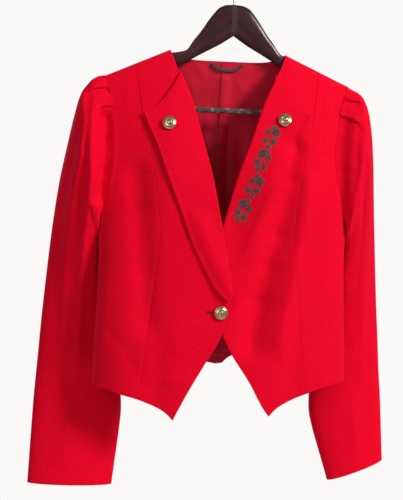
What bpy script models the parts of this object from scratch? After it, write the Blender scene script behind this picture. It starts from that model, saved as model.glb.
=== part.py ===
# Trachten jacket in fulled wool on a contoured wooden hanger.
# Metres, +Z up, the front faces -Y, +X is the wearer's left.
# The origin is the seat of the rail at the top of the hook, inside the wire.
import bpy
import bmesh
import math
from mathutils import Vector, Matrix

# Cloth
WALL_BODY = 0.0016
WALL_SLEEVE = 0.0010
WALL_LAPEL = 0.0012
WALL_LINING = 0.0010
SEAM_HALF = 0.00015
SIT = 0.0003

# The jacket hangs a little off the hanger's middle
JACKET_X = -0.008
NECK_U = 0.087
NECK_Z = -0.142
SHOULDER_SLOPE = 0.449
TIP_U = 0.182
UNDERARM_Z = -0.400
ROUNDNESS = 2.5
NECK_DIP = 0.0112
NECK_DIP_POWER = 5.5
UNDERARM_T = 0.4714
SEAM_HEM_Z = -0.655
SIDE_HEM_U = 0.200
TOP_PART = 0.2
HEM_PART = 0.30
BACK_TOP_PART = 0.30
NORMAL_STEP = 0.0015

# Stations down the body: closer near the shoulder, one at the underarm and one at the break
DOWN = (
    0.0, 0.0035, 0.014, 0.040, 0.085, 0.140, 0.205, 0.275, 0.345, 0.415, 0.4714,
    0.5470, 0.6224, 0.6844, 0.7570, 0.8380, 0.9190, 1.0,
)

# Cells across each piece
FRONT_CELLS = 8
SIDE_CELLS = 7
BACK_CELLS = 8
LINING_CELLS = 6
LAPEL_CELLS = 6
UNDER_CELLS = 7

# Half width of the body at each height
BODY_WIDTH = (
    # z, half width
    (-0.140, 0.236),
    (-0.200, 0.222),
    (-0.250, 0.207),
    (-0.300, 0.196),
    (-0.360, 0.189),
    (-0.400, 0.1862),
    (-0.450, 0.1850),
    (-0.520, 0.1865),
    (-0.600, 0.1895),
    (-0.700, 0.1910),
)

# Depth of the cloth from the hanger's plane, by distance below the shoulder line
BODY_DEPTH = (
    # below shoulder, front, back
    (0.000, 0.0000, 0.0000),
    (0.0012, 0.0056, 0.0056),
    (0.004, 0.0096, 0.0096),
    (0.010, 0.0128, 0.0124),
    (0.022, 0.0172, 0.0160),
    (0.040, 0.0226, 0.0210),
    (0.070, 0.0305, 0.0290),
    (0.110, 0.0400, 0.0380),
    (0.160, 0.0500, 0.0470),
    (0.220, 0.0560, 0.0530),
    (0.300, 0.0570, 0.0550),
    (0.380, 0.0550, 0.0560),
    (0.560, 0.0560, 0.0580),
)

# Fullness over the bust and at the waist of the back, and flutes that open towards the hem
BODY_SWELLS = (
    # face, half width, span, z, span, depth
    (-1, 0.085, 0.045, -0.330, 0.070, 0.0055),
    (1, 0.000, 0.055, -0.430, 0.080, -0.0040),
)
BODY_FLUTES = (
    # face, half width, shift on the left side, span, from z, full after, depth
    (-1, 0.150, 0.000, 0.018, -0.470, 0.120, 0.0030),
    (-1, 0.100, 0.004, 0.016, -0.500, 0.120, -0.0028),
    (1, 0.060, 0.000, 0.022, -0.420, 0.140, 0.0035),
    (1, 0.125, 0.000, 0.020, -0.420, 0.160, -0.0030),
)

# Lap of the fronts: the left one lies behind the right one near the middle
LAP_FROM_U = 0.080
LAP_OVER_U = 0.082
LAP_DEPTH = 0.0080
LAP_FROM_Z = -0.300
LAP_OVER_Z = 0.095
LAP_EASE = 0.50
LAP_EASE_Z = -0.512
LAP_EASE_OVER = 0.045

# Level strips at the shoulder and side seams, where the wall's edge stands upright
SEAM_PLANE = 0.002
SHOULDER_LEDGE = 0.0016
SIDE_LEDGE = 0.0014
SIDE_OPEN = 0.0007
SIDE_OPEN_PART = 0.05

# Shoulder-to-hem seams, front and back, and the armhole, as half widths by height
SEAMS = (
    # z, front seam, back seam
    (-0.164, 0.138, 0.135),
    (-0.210, 0.132, 0.124),
    (-0.260, 0.124, 0.112),
    (-0.300, 0.114, 0.104),
    (-0.360, 0.104, 0.094),
    (-0.420, 0.098, 0.088),
    (-0.470, 0.102, 0.088),
    (-0.520, 0.108, 0.092),
    (-0.580, 0.114, 0.098),
    (-0.620, 0.119, 0.103),
    (-0.660, 0.123, 0.107),
)
ARMHOLE = (
    # z, front, back
    (-0.186, 0.1820, 0.1820),
    (-0.204, 0.1775, 0.1785),
    (-0.219, 0.1730, 0.1750),
    (-0.234, 0.1690, 0.1715),
    (-0.250, 0.1660, 0.1690),
    (-0.270, 0.1635, 0.1665),
    (-0.293, 0.1625, 0.1655),
    (-0.316, 0.1640, 0.1665),
    (-0.345, 0.1690, 0.1705),
    (-0.365, 0.1740, 0.1750),
    (-0.385, 0.1805, 0.1810),
    (-0.395, 0.1845, 0.1845),
    (-0.400, 0.1862, 0.1862),
)

# Inner edges of the fronts: neck, roll line, break and cutaway edge down to the point
FRONT_EDGE = {
    "right": (
        # z, half width
        (-0.142, 0.0870),
        (-0.159, 0.0808),
        (-0.173, 0.0762),
        (-0.180, 0.0730),
        (-0.188, 0.0714),
        (-0.203, 0.0643),
        (-0.218, 0.0589),
        (-0.234, 0.0540),
        (-0.258, 0.0474),
        (-0.280, 0.0420),
        (-0.330, 0.0280),
        (-0.381, 0.0172),
        (-0.439, 0.0056),
        (-0.480, -0.0014),
        (-0.515, -0.0066),
        (-0.528, -0.0060),
        (-0.545, -0.0025),
        (-0.570, 0.0080),
        (-0.601, 0.0260),
        (-0.637, 0.0470),
        (-0.667, 0.0630),
        (-0.687, 0.0730),
    ),
    "left": (
        (-0.142, 0.0870),
        (-0.159, 0.0815),
        (-0.173, 0.0750),
        (-0.180, 0.0722),
        (-0.188, 0.0706),
        (-0.203, 0.0642),
        (-0.218, 0.0574),
        (-0.234, 0.0510),
        (-0.258, 0.0430),
        (-0.280, 0.0355),
        (-0.330, 0.0172),
        (-0.381, 0.0030),
        (-0.439, -0.0125),
        (-0.480, -0.0195),
        (-0.510, -0.0230),
        (-0.535, -0.0170),
        (-0.563, -0.0030),
        (-0.591, 0.0110),
        (-0.632, 0.0380),
        (-0.654, 0.0500),
        (-0.668, 0.0580),
        (-0.680, 0.0670),
    ),
}

# Hems by half width: fronts on each side, and the back
HEM = (
    # half width, right front, left front, right back, left back
    (0.000, -0.690, -0.690, -0.6160, -0.6160),
    (0.010, -0.690, -0.690, -0.6142, -0.6146),
    (0.017, -0.690, -0.690, -0.6130, -0.6080),
    (0.027, -0.690, -0.690, -0.6125, -0.6028),
    (0.045, -0.690, -0.690, -0.6135, -0.6065),
    (0.067, -0.690, -0.680, -0.6150, -0.6140),
    (0.073, -0.687, -0.6735, -0.6155, -0.6145),
    (0.081, -0.679, -0.6665, -0.6165, -0.6150),
    (0.091, -0.672, -0.6610, -0.6180, -0.6160),
    (0.106, -0.665, -0.6540, -0.6205, -0.6175),
    (0.128, -0.657, -0.6455, -0.6250, -0.6200),
    (0.150, -0.651, -0.6370, -0.6300, -0.6230),
    (0.170, -0.644, -0.6300, -0.6350, -0.6250),
    (0.200, -0.638, -0.6270, -0.6380, -0.6270),
)

# Lapels: outer edge for each height of the roll line, from the neck to the break
LAPEL = {
    "right": (
        # roll z, edge u, edge z
        (-0.181, 0.1230, -0.241),
        (-0.196, 0.1190, -0.2545),
        (-0.208, 0.1130, -0.268),
        (-0.234, 0.1040, -0.288),
        (-0.262, 0.0955, -0.312),
        (-0.290, 0.0878, -0.334),
        (-0.322, 0.0795, -0.356),
        (-0.356, 0.0695, -0.381),
        (-0.393, 0.0592, -0.4075),
        (-0.431, 0.0470, -0.4375),
        (-0.465, 0.0308, -0.4685),
        (-0.491, 0.0135, -0.4975),
        (-0.509, -0.0030, -0.5125),
    ),
    "left": (
        (-0.179, 0.1170, -0.240),
        (-0.191, 0.1110, -0.2500),
        (-0.207, 0.1050, -0.2610),
        (-0.234, 0.0960, -0.2780),
        (-0.262, 0.0850, -0.3020),
        (-0.290, 0.0730, -0.3290),
        (-0.322, 0.0590, -0.3550),
        (-0.356, 0.0470, -0.3820),
        (-0.395, 0.0370, -0.4080),
        (-0.431, 0.0260, -0.4370),
        (-0.465, 0.0060, -0.4680),
        (-0.488, -0.0080, -0.4900),
        (-0.504, -0.0160, -0.5050),
    ),
}
LAPEL_FROM = 0.0715
LAPEL_TO = 0.6740
LAPEL_ROLL = 0.0032
LAPEL_START = -0.0014
LAPEL_TOP_DIP = 0.0115
LAPEL_ROLL_FALL = 0.20
LAPEL_LEFT_ROLL_FALL = 0.08
LAPEL_STRAIGHT = 0.0007
LAPEL_TURNS = (
    # degrees round the rolled edge, straight run
    (0.0, 0.0),
    (0.0, LAPEL_STRAIGHT),
    (60.0, LAPEL_STRAIGHT),
    (120.0, LAPEL_STRAIGHT),
    (180.0, 0.0),
)
LAPEL_LIFT = {
    # lift of the loose edge at the neck, from, over, lift all along
    "right": (0.0045, 0.10, 0.75, 0.0006),
    "left": (0.0042, 0.05, 0.60, 0.0003),
}
LAPEL_SETTLE = {"right": 0.0020, "left": 0.0010}
LAPEL_SETTLE_REACH = 0.030
LAPEL_WAVE = 0.0016
LAPEL_WAVE_AT = 0.30
LAPEL_WAVE_SPAN = 0.22

# Sleeve rings from the armhole to the cuff: outer point, inner point, middle depth,
# half depth, how far the ring has left the armhole's form, pleat folded 1 to open 0
SLEEVE = {
    "right": (
        # outer x, outer z, inner x, inner z, mid y, half depth, leave, folded
        (-0.1900, -0.1860, -0.1942, -0.4000, 0.000, 0.027, 0.00, 1.00),
        (-0.1980, -0.1877, -0.1955, -0.4035, 0.000, 0.031, 0.35, 1.00),
        (-0.2075, -0.1940, -0.1965, -0.4080, 0.000, 0.036, 0.65, 0.84),
        (-0.2165, -0.2031, -0.1970, -0.4130, 0.000, 0.041, 0.90, 0.64),
        (-0.2230, -0.2109, -0.1972, -0.4180, 0.001, 0.0445, 1.00, 0.50),
        (-0.2280, -0.2228, -0.1968, -0.4240, 0.003, 0.0470, 1.00, 0.33),
        (-0.2340, -0.2450, -0.1950, -0.4340, 0.006, 0.0482, 1.00, 0.22),
        (-0.2428, -0.2860, -0.1925, -0.4510, 0.013, 0.0482, 1.00, 0.08),
        (-0.2540, -0.3420, -0.1905, -0.4750, 0.024, 0.0450, 1.00, 0.00),
        (-0.2630, -0.4050, -0.1880, -0.5090, 0.038, 0.038, 1.00, 0.00),
        (-0.2765, -0.5400, -0.1685, -0.5920, 0.056, 0.026, 1.00, 0.00),
        (-0.2815, -0.6100, -0.1585, -0.6400, 0.056, 0.023, 1.00, 0.00),
        (-0.2855, -0.6700, -0.1530, -0.6850, 0.050, 0.0218, 1.00, 0.00),
        (-0.2910, -0.7965, -0.1650, -0.7985, 0.037, 0.0192, 1.00, 0.00),
    ),
    "left": (
        (0.1740, -0.1860, 0.1782, -0.4000, 0.000, 0.027, 0.00, 1.00),
        (0.1815, -0.1915, 0.1797, -0.4035, 0.000, 0.031, 0.35, 1.00),
        (0.1900, -0.1968, 0.1807, -0.4080, 0.000, 0.036, 0.65, 0.84),
        (0.1980, -0.2020, 0.1813, -0.4130, 0.000, 0.041, 0.90, 0.64),
        (0.2035, -0.2101, 0.1815, -0.4180, 0.001, 0.044, 1.00, 0.50),
        (0.2080, -0.2200, 0.1811, -0.4240, 0.003, 0.046, 1.00, 0.33),
        (0.2140, -0.2470, 0.1795, -0.4340, 0.006, 0.047, 1.00, 0.22),
        (0.2200, -0.2890, 0.1775, -0.4510, 0.013, 0.047, 1.00, 0.08),
        (0.2260, -0.3440, 0.1755, -0.4750, 0.024, 0.044, 1.00, 0.00),
        (0.2335, -0.4050, 0.1720, -0.5090, 0.038, 0.038, 1.00, 0.00),
        (0.2470, -0.5400, 0.1530, -0.5920, 0.056, 0.026, 1.00, 0.00),
        (0.2515, -0.6100, 0.1440, -0.6400, 0.056, 0.023, 1.00, 0.00),
        (0.2545, -0.6700, 0.1410, -0.6820, 0.050, 0.021, 1.00, 0.00),
        (0.2560, -0.7600, 0.1700, -0.7920, 0.037, 0.018, 1.00, 0.00),
    ),
}

# Sleeve head by arc from the shoulder tip at the armhole seam, and layer height
PLEAT_LAYER_SEAM = 0.0014
PLEAT_LAYER = 0.0018
HEAD_SINK = 0.0035
HEAD_PUFF = 0.0006
PLEAT_COLUMNS = (
    # arc from the tip, layers up when folded, layers up when half open
    (0.0000, 2.30, 2.30),
    (0.0080, 2.15, 2.15),
    (0.0140, 2.05, 2.05),
    (0.0190, 2.00, 2.00),
    (0.0240, 2.00, 1.90),
    (0.0240, 1.00, 1.45),
    (0.0190, 1.00, 0.95),
    (0.0140, 1.00, 0.65),
    (0.0140, 0.00, 0.00),
    (0.0190, 0.00, 0.00),
    (0.0275, 0.00, 0.30),
    (0.0370, 1.70, 1.50),
    (0.0425, 2.00, 1.90),
    (0.0540, 2.00, 1.90),
    (0.0540, 1.00, 1.30),
    (0.0425, 1.00, 0.60),
    (0.0425, 0.00, 0.00),
    (0.0560, 0.00, 0.00),
    (0.0720, 0.00, 0.00),
    (0.0950, 0.00, 0.00),
    (0.1300, 0.00, 0.00),
    (0.1650, 0.00, 0.00),
)
EDGE_STRIP = 0.0025
ARMHOLE_STEPS = 60
ARMHOLE_CLOSER = 1.3
ELLIPSE_STEPS = 48
SLEEVE_CLEAR = 0.0007
SLEEVE_CLEAR_UNDER = 0.0010
SLEEVE_NORMAL_STEP = 0.004
HEAD_RINGS = 3.5
LAYER_RINGS = 4.0
TURN_TIGHT = 0.0012
TURN_LOOSE = 0.0030
SEAM_RINGS = 8.0
SEAM_GAP = 0.00025
SEAM_GAP_ELBOW = 0.00052
SEAM_GAP_RING = 7.3
SEAM_GAP_SPAN = 1.8
RING_LENGTH = 0.32
SEAM_FRONT_TOP = 0.435
SEAM_FRONT_LOW = 0.340
SEAM_BACK_TOP = 0.410
SEAM_BACK_LOW = 0.325

# The underside of the sleeve swings back and tucks in behind the body below the armhole
UNDER_SWING = 0.015
UNDER_TUCK = 0.009
UNDER_SWING_RING = 7.2
UNDER_SWING_SPAN = 1.9
UNDER_TUCK_FULL = 0.45
UNDER_TUCK_FROM = 0.6
UNDER_TUCK_FADE = 1.2
UNDER_STRIP = 0.0065
UNDER_DOWNWARD = 0.6

# Soft ridges and troughs that the pleats let out down the sleeve
SLEEVE_FOLDS = (
    # middle at the head, middle below, first ring, last ring, width, height
    (0.165, 0.170, 4.0, 12.0, 0.030, 0.0050),
    (0.110, 0.105, 4.0, 10.0, 0.026, -0.0030),
    (0.235, 0.250, 4.0, 10.0, 0.034, -0.0035),
    (-0.150, -0.160, 4.0, 11.0, 0.032, 0.0040),
    (-0.225, -0.240, 4.0, 10.0, 0.034, -0.0030),
)

# Centre pleat of the lining: how far the left half laps over, and its columns
PLEAT_LAP = 0.0070
PLEAT_STEP_U = 0.0010
PLEAT_STEP_OVER = 0.0090
LINING_MIDDLE = 0.0004
LINING_GAP = 0.0006
LINING_CLEAR = 0.0001
LINING_TOP = 0.0030
LINING_OUTER_DROP = 4.0
LINING_HEM = 0.0120
LINING_EASE = 0.0013
LINING_SHARES = (0.0, 0.045, 0.075, 0.110, 0.160, 0.330, 0.500, 0.670, 0.840, 1.0)

# Buttons
BUTTON_R = 0.0104
BUTTON_H = 0.0062
BUTTONS = (
    # name, side, half width, z
    ("button_lapel_right", "right", 0.0880, -0.257),
    ("button_lapel_left", "left", 0.0810, -0.247),
)
BUTTON_FRONT_U = 0.0070
BUTTON_FRONT_Z = -0.530
BUTTONHOLE_L = 0.0235
BUTTONHOLE_W = 0.0011
BUTTONHOLE_EYE_R = 0.0022
BUTTONHOLE_PAST = 0.0035
BUTTONHOLE_Y = -0.055
CUTTER_DEPTH = 0.030
BUTTON_STEPS = 20
BUTTON_PROFILE = (
    # share of the radius, share of the height
    (0.00, 1.000),
    (0.36, 0.965),
    (0.66, 0.830),
    (0.88, 0.580),
    (1.00, 0.300),
    (0.96, 0.060),
    (0.86, 0.000),
)
SHANK_R = 0.0016
SHANK_L = 0.0026
BUTTON_LAPEL_SIT = 0.0009
BUTTON_FRONT_SIT = 0.0006

# Hanging loop: ends at the back neck, width of the tape, sag and how far it stands off
LOOP_LEFT_X = -0.0325
LOOP_RIGHT_X = 0.0160
LOOP_Z = -0.1585
LOOP_W = 0.0046
LOOP_WALL = 0.0010
LOOP_SAG = 0.0085
LOOP_OFF = 0.0010
LOOP_BELLY = 0.0030
LOOP_TWIST = 0.0004
LOOP_STATIONS = 12

# Hanger
WIRE_R = 0.0018
HOOK_R = 0.0190
ARM_END = 0.168
ARM_HALF_T = 0.0066
LOBE_X = 0.1460
BAR_R = 0.0042
BAR_Z = -0.2295
BAR_SEAT = 0.0004
HANGER_ARM = (
    # x from the middle, top z, underside z, half thickness
    (0.0002, -0.0700, -0.1170, 0.0082),
    (0.0120, -0.0710, -0.1250, 0.0082),
    (0.0220, -0.0750, -0.1315, 0.0081),
    (0.0310, -0.0845, -0.1365, 0.0079),
    (0.0400, -0.0970, -0.1415, 0.0077),
    (0.0490, -0.1110, -0.1465, 0.0074),
    (0.0600, -0.1255, -0.1530, 0.0070),
    (0.0720, -0.1415, -0.1605, 0.0066),
)
ARM_UNDER_CLOTH = 0.0028
ARM_TALL = 0.0190
ARM_MIDDLE_X = (0.0850, 0.1000, 0.1160, 0.1320, LOBE_X)
HANGER_LOBE = (
    # x from the middle, drop of the top, underside z, half thickness
    (LOBE_X + 0.0010, 0.0000, -0.2350, 0.0062),
    (0.1580, 0.0000, -0.2365, 0.0058),
    (0.1645, 0.0008, -0.2335, 0.0050),
    (ARM_END, 0.0050, -0.2260, 0.0032),
)
ARM_AROUND = 12
ARM_SQUARENESS = 0.75
BAR_AROUND = 14
HOOK_NECK = (
    # x, z
    (0.0000, -0.0560),
    (0.0006, -0.0490),
    (0.0036, -0.0435),
)
HOOK_FROM = -62.0
HOOK_TO = 205.0
HOOK_STEPS = 22

FRONTWARD = Vector((0, -1, 0))
BACKWARD = Vector((0, 1, 0))
COLLECTION = bpy.data.collections.new("trachten_jacket")
CUTTERS = bpy.data.collections.new("cutters")


def clear_scene():
    for item in list(bpy.data.objects):
        bpy.data.objects.remove(item, do_unlink=True)
    bpy.context.scene.collection.children.link(COLLECTION)
    bpy.context.scene.collection.children.link(CUTTERS)


def material(name, colour, roughness, metallic=0.0):
    made = bpy.data.materials.new(name)
    made.use_nodes = True
    shader = made.node_tree.nodes["Principled BSDF"]
    shader.inputs["Base Color"].default_value = (*colour, 1.0)
    shader.inputs["Roughness"].default_value = roughness
    shader.inputs["Metallic"].default_value = metallic
    made.diffuse_color = (*colour, 1.0)
    return made


def column(table, index, at, key=0):
    """Smooth reading of one column of a table sorted by its key column."""
    rows = sorted(table, key=lambda row: row[key])
    xs = [row[key] for row in rows]
    ys = [row[index] for row in rows]
    if at <= xs[0]:
        return ys[0]
    if at >= xs[-1]:
        return ys[-1]
    k = 0
    while xs[k + 1] < at:
        k += 1

    def slope(i):
        if i == 0:
            return (ys[1] - ys[0]) / (xs[1] - xs[0])
        if i == len(xs) - 1:
            return (ys[-1] - ys[-2]) / (xs[-1] - xs[-2])
        before = (ys[i] - ys[i - 1]) / (xs[i] - xs[i - 1])
        after = (ys[i + 1] - ys[i]) / (xs[i + 1] - xs[i])
        if before * after <= 0:
            return 0.0
        return 2 * before * after / (before + after)

    span = xs[k + 1] - xs[k]
    t = (at - xs[k]) / span
    h00 = 2 * t ** 3 - 3 * t ** 2 + 1
    h10 = t ** 3 - 2 * t ** 2 + t
    h01 = -2 * t ** 3 + 3 * t ** 2
    h11 = t ** 3 - t ** 2
    return h00 * ys[k] + h10 * span * slope(k) + h01 * ys[k + 1] + h11 * span * slope(k + 1)


def smooth(t):
    t = min(1.0, max(0.0, t))
    return t * t * (3 - 2 * t)


def bump(t):
    return math.exp(-t * t)


def side_sign(side):
    return -1.0 if side == "right" else 1.0


def shoulder_z(u):
    return NECK_Z - SHOULDER_SLOPE * max(0.0, abs(u) - NECK_U)


def neck_back_z(u):
    return NECK_Z - NECK_DIP * (1.0 - min(1.0, abs(u) / NECK_U) ** NECK_DIP_POWER)


def half_width(z):
    return column(BODY_WIDTH, 1, z)


def body_depth(side, face, u, z):
    """Depth of the outer cloth surface where the section is full."""
    below = max(0.0, shoulder_z(u) - z)
    depth = column(BODY_DEPTH, 1 if face < 0 else 2, below)
    for where, middle, span, level, rise, fullness in BODY_SWELLS:
        if where == face:
            depth += fullness * bump((abs(u) - middle) / span) * bump((z - level) / rise)
    for where, middle, shift, span, top, full, fullness in BODY_FLUTES:
        if where == face:
            place = middle + shift * side_sign(side)
            depth += fullness * bump((u - place) / span) * smooth((top - z) / full)
    return depth


def under_shift(side, u, z):
    """How far the left front lies behind the right one near the middle."""
    if side == "right":
        return 0.0
    near = smooth((LAP_FROM_U - u) / LAP_OVER_U)
    deep = LAP_DEPTH * smooth((LAP_FROM_Z - z) / LAP_OVER_Z)
    low = 1.0 - LAP_EASE * smooth((LAP_EASE_Z - z) / LAP_EASE_OVER)
    return near * deep * low


def body_point(side, face, u, z):
    width = half_width(z)
    ratio = min(1.0, abs(u) / width)
    full = (1.0 - ratio ** ROUNDNESS) ** (1.0 / ROUNDNESS)
    y = face * body_depth(side, face, u, z) * full
    if face < 0:
        y += under_shift(side, u, z)
    return Vector((JACKET_X + side_sign(side) * u, y, z))


def body_point_round(side, face, turn, z):
    """The same surface by the angle round the section: 0 at the side, rising to the middle."""
    u = half_width(z) * math.cos(turn) ** (2.0 / ROUNDNESS)
    y = face * body_depth(side, face, u, z) * math.sin(turn) ** (2.0 / ROUNDNESS)
    if face < 0:
        y += under_shift(side, u, z)
    return Vector((JACKET_X + side_sign(side) * u, y, z))


def turn_of(u, z):
    ratio = min(1.0, abs(u) / half_width(z))
    return math.acos(ratio ** (ROUNDNESS / 2.0))


def body_normal(side, face, u, z):
    across = body_point(side, face, u + NORMAL_STEP, z) - body_point(side, face, u - NORMAL_STEP, z)
    down = body_point(side, face, u, z - NORMAL_STEP) - body_point(side, face, u, z + NORMAL_STEP)
    normal = across.cross(down).normalized()
    if normal.y * face < 0:
        normal = -normal
    return normal


def cloth(name, rows, wall, look, offset=-1.0, even=True):
    """An open surface through rows of points, thickened to a wall. Negative offset is inward."""
    nr = len(rows)
    nc = len(rows[0])
    bm = bmesh.new()
    bmesh.ops.create_grid(bm, x_segments=nc - 1, y_segments=nr - 1, size=1.0)
    bm.verts.ensure_lookup_table()
    order = sorted(bm.verts, key=lambda v: (round(-v.co.y, 5), round(v.co.x, 5)))
    for k, vert in enumerate(order):
        vert.co = rows[k // nc][k % nc]
    mesh = bpy.data.meshes.new(name)
    bm.to_mesh(mesh)
    bm.free()
    mesh.shade_smooth()
    item = bpy.data.objects.new(name, mesh)
    COLLECTION.objects.link(item)
    mesh.materials.append(look)
    solid = item.modifiers.new("wall", "SOLIDIFY")
    solid.thickness = wall
    solid.offset = offset
    solid.use_even_offset = even
    solid.use_rim = True
    return item


def face_out(item, outward, judged=None):
    """Turn the faces over if they look away from the given direction on the whole."""
    mesh = item.data
    faces = mesh.polygons if judged is None else [face for face in mesh.polygons if judged(face.index)]
    if sum(face.normal.dot(outward) * face.area for face in faces) < 0:
        mesh.flip_normals()


def hem_z(side, face, u):
    index = {(-1, "right"): 1, (-1, "left"): 2, (1, "right"): 3, (1, "left"): 4}[(int(face), side)]
    return column(HEM, index, max(0.0, u))


def level_top(rows, face):
    """A level first strip, so that the wall's edge stands upright at the shoulder seam."""
    first = []
    second = []
    for point, below in zip(rows[0], rows[1]):
        if abs(point.y) < SEAM_PLANE:
            first.append(Vector((point.x, face * SEAM_HALF, point.z)))
            second.append(Vector((point.x, face * SHOULDER_LEDGE, point.z)))
        else:
            first.append(point)
            second.append(point.lerp(below, 0.3))
    return [first, second] + rows[1:]


def centre_front(side, look):
    """The front from its own edge to the seam over the bust, ending in a point."""
    edge = FRONT_EDGE[side]
    tip_z, tip_u = edge[-1]
    seam_top = shoulder_z(SEAMS[0][1])
    seam_bottom = hem_z(side, -1, column(SEAMS, 1, SEAM_HEM_Z))
    rows = []
    for t in DOWN:
        z_out = seam_top + (seam_bottom - seam_top) * t
        z_in = NECK_Z + (tip_z - NECK_Z) * t
        u_out = column(SEAMS, 1, z_out) - SEAM_HALF
        u_in = column(edge, 1, z_in)
        row = []
        for k in range(FRONT_CELLS + 1):
            s = k / FRONT_CELLS
            u = u_in + (u_out - u_in) * s
            z = z_in + (z_out - z_in) * s
            if t < TOP_PART:
                straight = NECK_Z + (seam_top - NECK_Z) * s
                z += (1.0 - t) ** 2 * (shoulder_z(u) - straight)
            straight = tip_z + (seam_bottom - tip_z) * s
            line = hem_z(side, -1, u) if u > tip_u else tip_z
            z += smooth((t - 1.0 + HEM_PART) / HEM_PART) * (line - straight)
            row.append(body_point(side, -1, u, z))
        rows.append(row)
    item = cloth("front_" + side, level_top(rows, -1), WALL_BODY, look)
    face_out(item, FRONTWARD)
    return item


def side_panel(side, face, look):
    """Between the shoulder-to-hem seam and the armhole and side seam."""
    index = 1 if face < 0 else 2
    seam_top = shoulder_z(SEAMS[0][index])
    seam_bottom = hem_z(side, face, column(SEAMS, index, SEAM_HEM_Z))
    tip_z = shoulder_z(TIP_U)
    corner = 0.5 * (hem_z(side, -1, SIDE_HEM_U) + hem_z(side, 1, SIDE_HEM_U))
    rows = []
    for t in DOWN:
        z_in = seam_top + (seam_bottom - seam_top) * t
        turn_in = turn_of(column(SEAMS, index, z_in) + SEAM_HALF, z_in)
        if t < UNDERARM_T:
            z_out = tip_z + (UNDERARM_Z - tip_z) * t / UNDERARM_T
            turn_out = turn_of(column(ARMHOLE, index, z_out) - SEAM_HALF, z_out)
        else:
            z_out = UNDERARM_Z + (corner - UNDERARM_Z) * (t - UNDERARM_T) / (1 - UNDERARM_T)
            full = body_depth(side, face, half_width(z_out), z_out)
            turn_out = math.asin((SEAM_HALF / full) ** (ROUNDNESS / 2.0))
        row = []
        for k in range(SIDE_CELLS + 1):
            s = k / SIDE_CELLS
            z = z_in + (z_out - z_in) * s
            turn = turn_in + (turn_out - turn_in) * s
            u = half_width(z) * math.cos(turn) ** (2.0 / ROUNDNESS)
            if t < TOP_PART:
                straight = seam_top + (tip_z - seam_top) * s
                z += (1.0 - t) ** 2 * (shoulder_z(u) - straight)
            straight = seam_bottom + (corner - seam_bottom) * s
            z += smooth((t - 1.0 + HEM_PART) / HEM_PART) * (1 - s) * (hem_z(side, face, u) - straight)
            row.append(body_point_round(side, face, turn, z))
        if t >= UNDERARM_T:
            open_up = SIDE_OPEN * (1.0 - smooth((t - UNDERARM_T) / SIDE_OPEN_PART))
            row[-1].y = face * (SEAM_HALF + open_up)
            row.insert(-1, Vector((row[-1].x, face * (SIDE_LEDGE + open_up), row[-1].z)))
        else:
            row.insert(-1, row[-1].lerp(row[-2], 0.15))
        rows.append(row)
    name = "side_front_" if face < 0 else "side_back_"
    item = cloth(name + side, level_top(rows, face), WALL_BODY, look)
    face_out(item, FRONTWARD if face < 0 else BACKWARD)
    return item


def back_grid(side, shares, first_u, seam_gap):
    """Rows of the centre back's outer face, as half width and z, at shares of its width."""
    seam_top = shoulder_z(SEAMS[0][2])
    seam_bottom = hem_z(side, 1, column(SEAMS, 2, SEAM_HEM_Z))
    middle_top = neck_back_z(0.0)
    middle_bottom = hem_z(side, 1, 0.0)
    rows = []
    for t in DOWN:
        z_out = seam_top + (seam_bottom - seam_top) * t
        z_in = middle_top + (middle_bottom - middle_top) * t
        u_out = column(SEAMS, 2, z_out) - seam_gap
        row = []
        for s in shares:
            u = first_u + (u_out - first_u) * s
            z = z_in + (z_out - z_in) * s
            line = neck_back_z(u) if abs(u) < NECK_U else shoulder_z(u)
            straight = middle_top + (seam_top - middle_top) * s
            z += (1.0 - smooth(t / BACK_TOP_PART)) * (line - straight)
            straight = middle_bottom + (seam_bottom - middle_bottom) * s
            z += smooth((t - 1.0 + HEM_PART) / HEM_PART) * (hem_z(side, 1, u) - straight)
            row.append((u, z))
        rows.append(row)
    return rows


def centre_back(side, look):
    """The back from the centre seam to the seam over the shoulder blade."""
    shares = [k / BACK_CELLS for k in range(BACK_CELLS + 1)]
    grid = back_grid(side, shares, SEAM_HALF, SEAM_HALF)
    rows = [[body_point(side, 1, u, z) for u, z in row] for row in grid]
    item = cloth("back_" + side, level_top(rows, 1), WALL_BODY, look)
    face_out(item, BACKWARD)
    return item


def lining(side, look):
    """Satin inside the back. The left half laps over the right one in a centre pleat."""
    if side == "right":
        shares = [k / LINING_CELLS for k in range(LINING_CELLS + 1)]
        first_u = LINING_MIDDLE
        lap = 0.0
    else:
        shares = LINING_SHARES
        first_u = -PLEAT_LAP
        lap = WALL_LINING + SIT + LINING_CLEAR
    rows = []
    for t, line in zip(DOWN, back_grid(side, shares, first_u, LINING_GAP)):
        row = []
        for s, (u, z) in zip(shares, line):
            drop = 1.0 + LINING_OUTER_DROP * smooth((s - 0.35) / 0.35)
            z += LINING_HEM * smooth((t - 0.5) / 0.5) - LINING_TOP * drop * (1 - smooth(t / TOP_PART))
            ease = LINING_EASE * (1.0 - smooth(t / BACK_TOP_PART)) * smooth((s - 0.30) / 0.30)
            over = lap * (1.0 - smooth((u - PLEAT_STEP_U) / PLEAT_STEP_OVER))
            inward = WALL_BODY + SIT + LINING_CLEAR + ease + over
            row.append(body_point(side, 1, u, z) - body_normal(side, 1, u, z) * inward)
        rows.append(row)
    item = cloth("lining_" + side, rows, WALL_LINING, look)
    face_out(item, BACKWARD)
    return item


def front_edge(side, t):
    """Inner edge of the front at a station, straight between the front's own rows."""
    edge = FRONT_EDGE[side]
    fall = edge[-1][0] - NECK_Z
    below = max(d for d in DOWN if d <= t)
    above = min(d for d in DOWN if d >= t)
    start = column(edge, 1, NECK_Z + fall * below)
    end = column(edge, 1, NECK_Z + fall * above)
    share = (t - below) / (above - below) if above > below else 0.0
    return start + (end - start) * share, NECK_Z + fall * t


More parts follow.
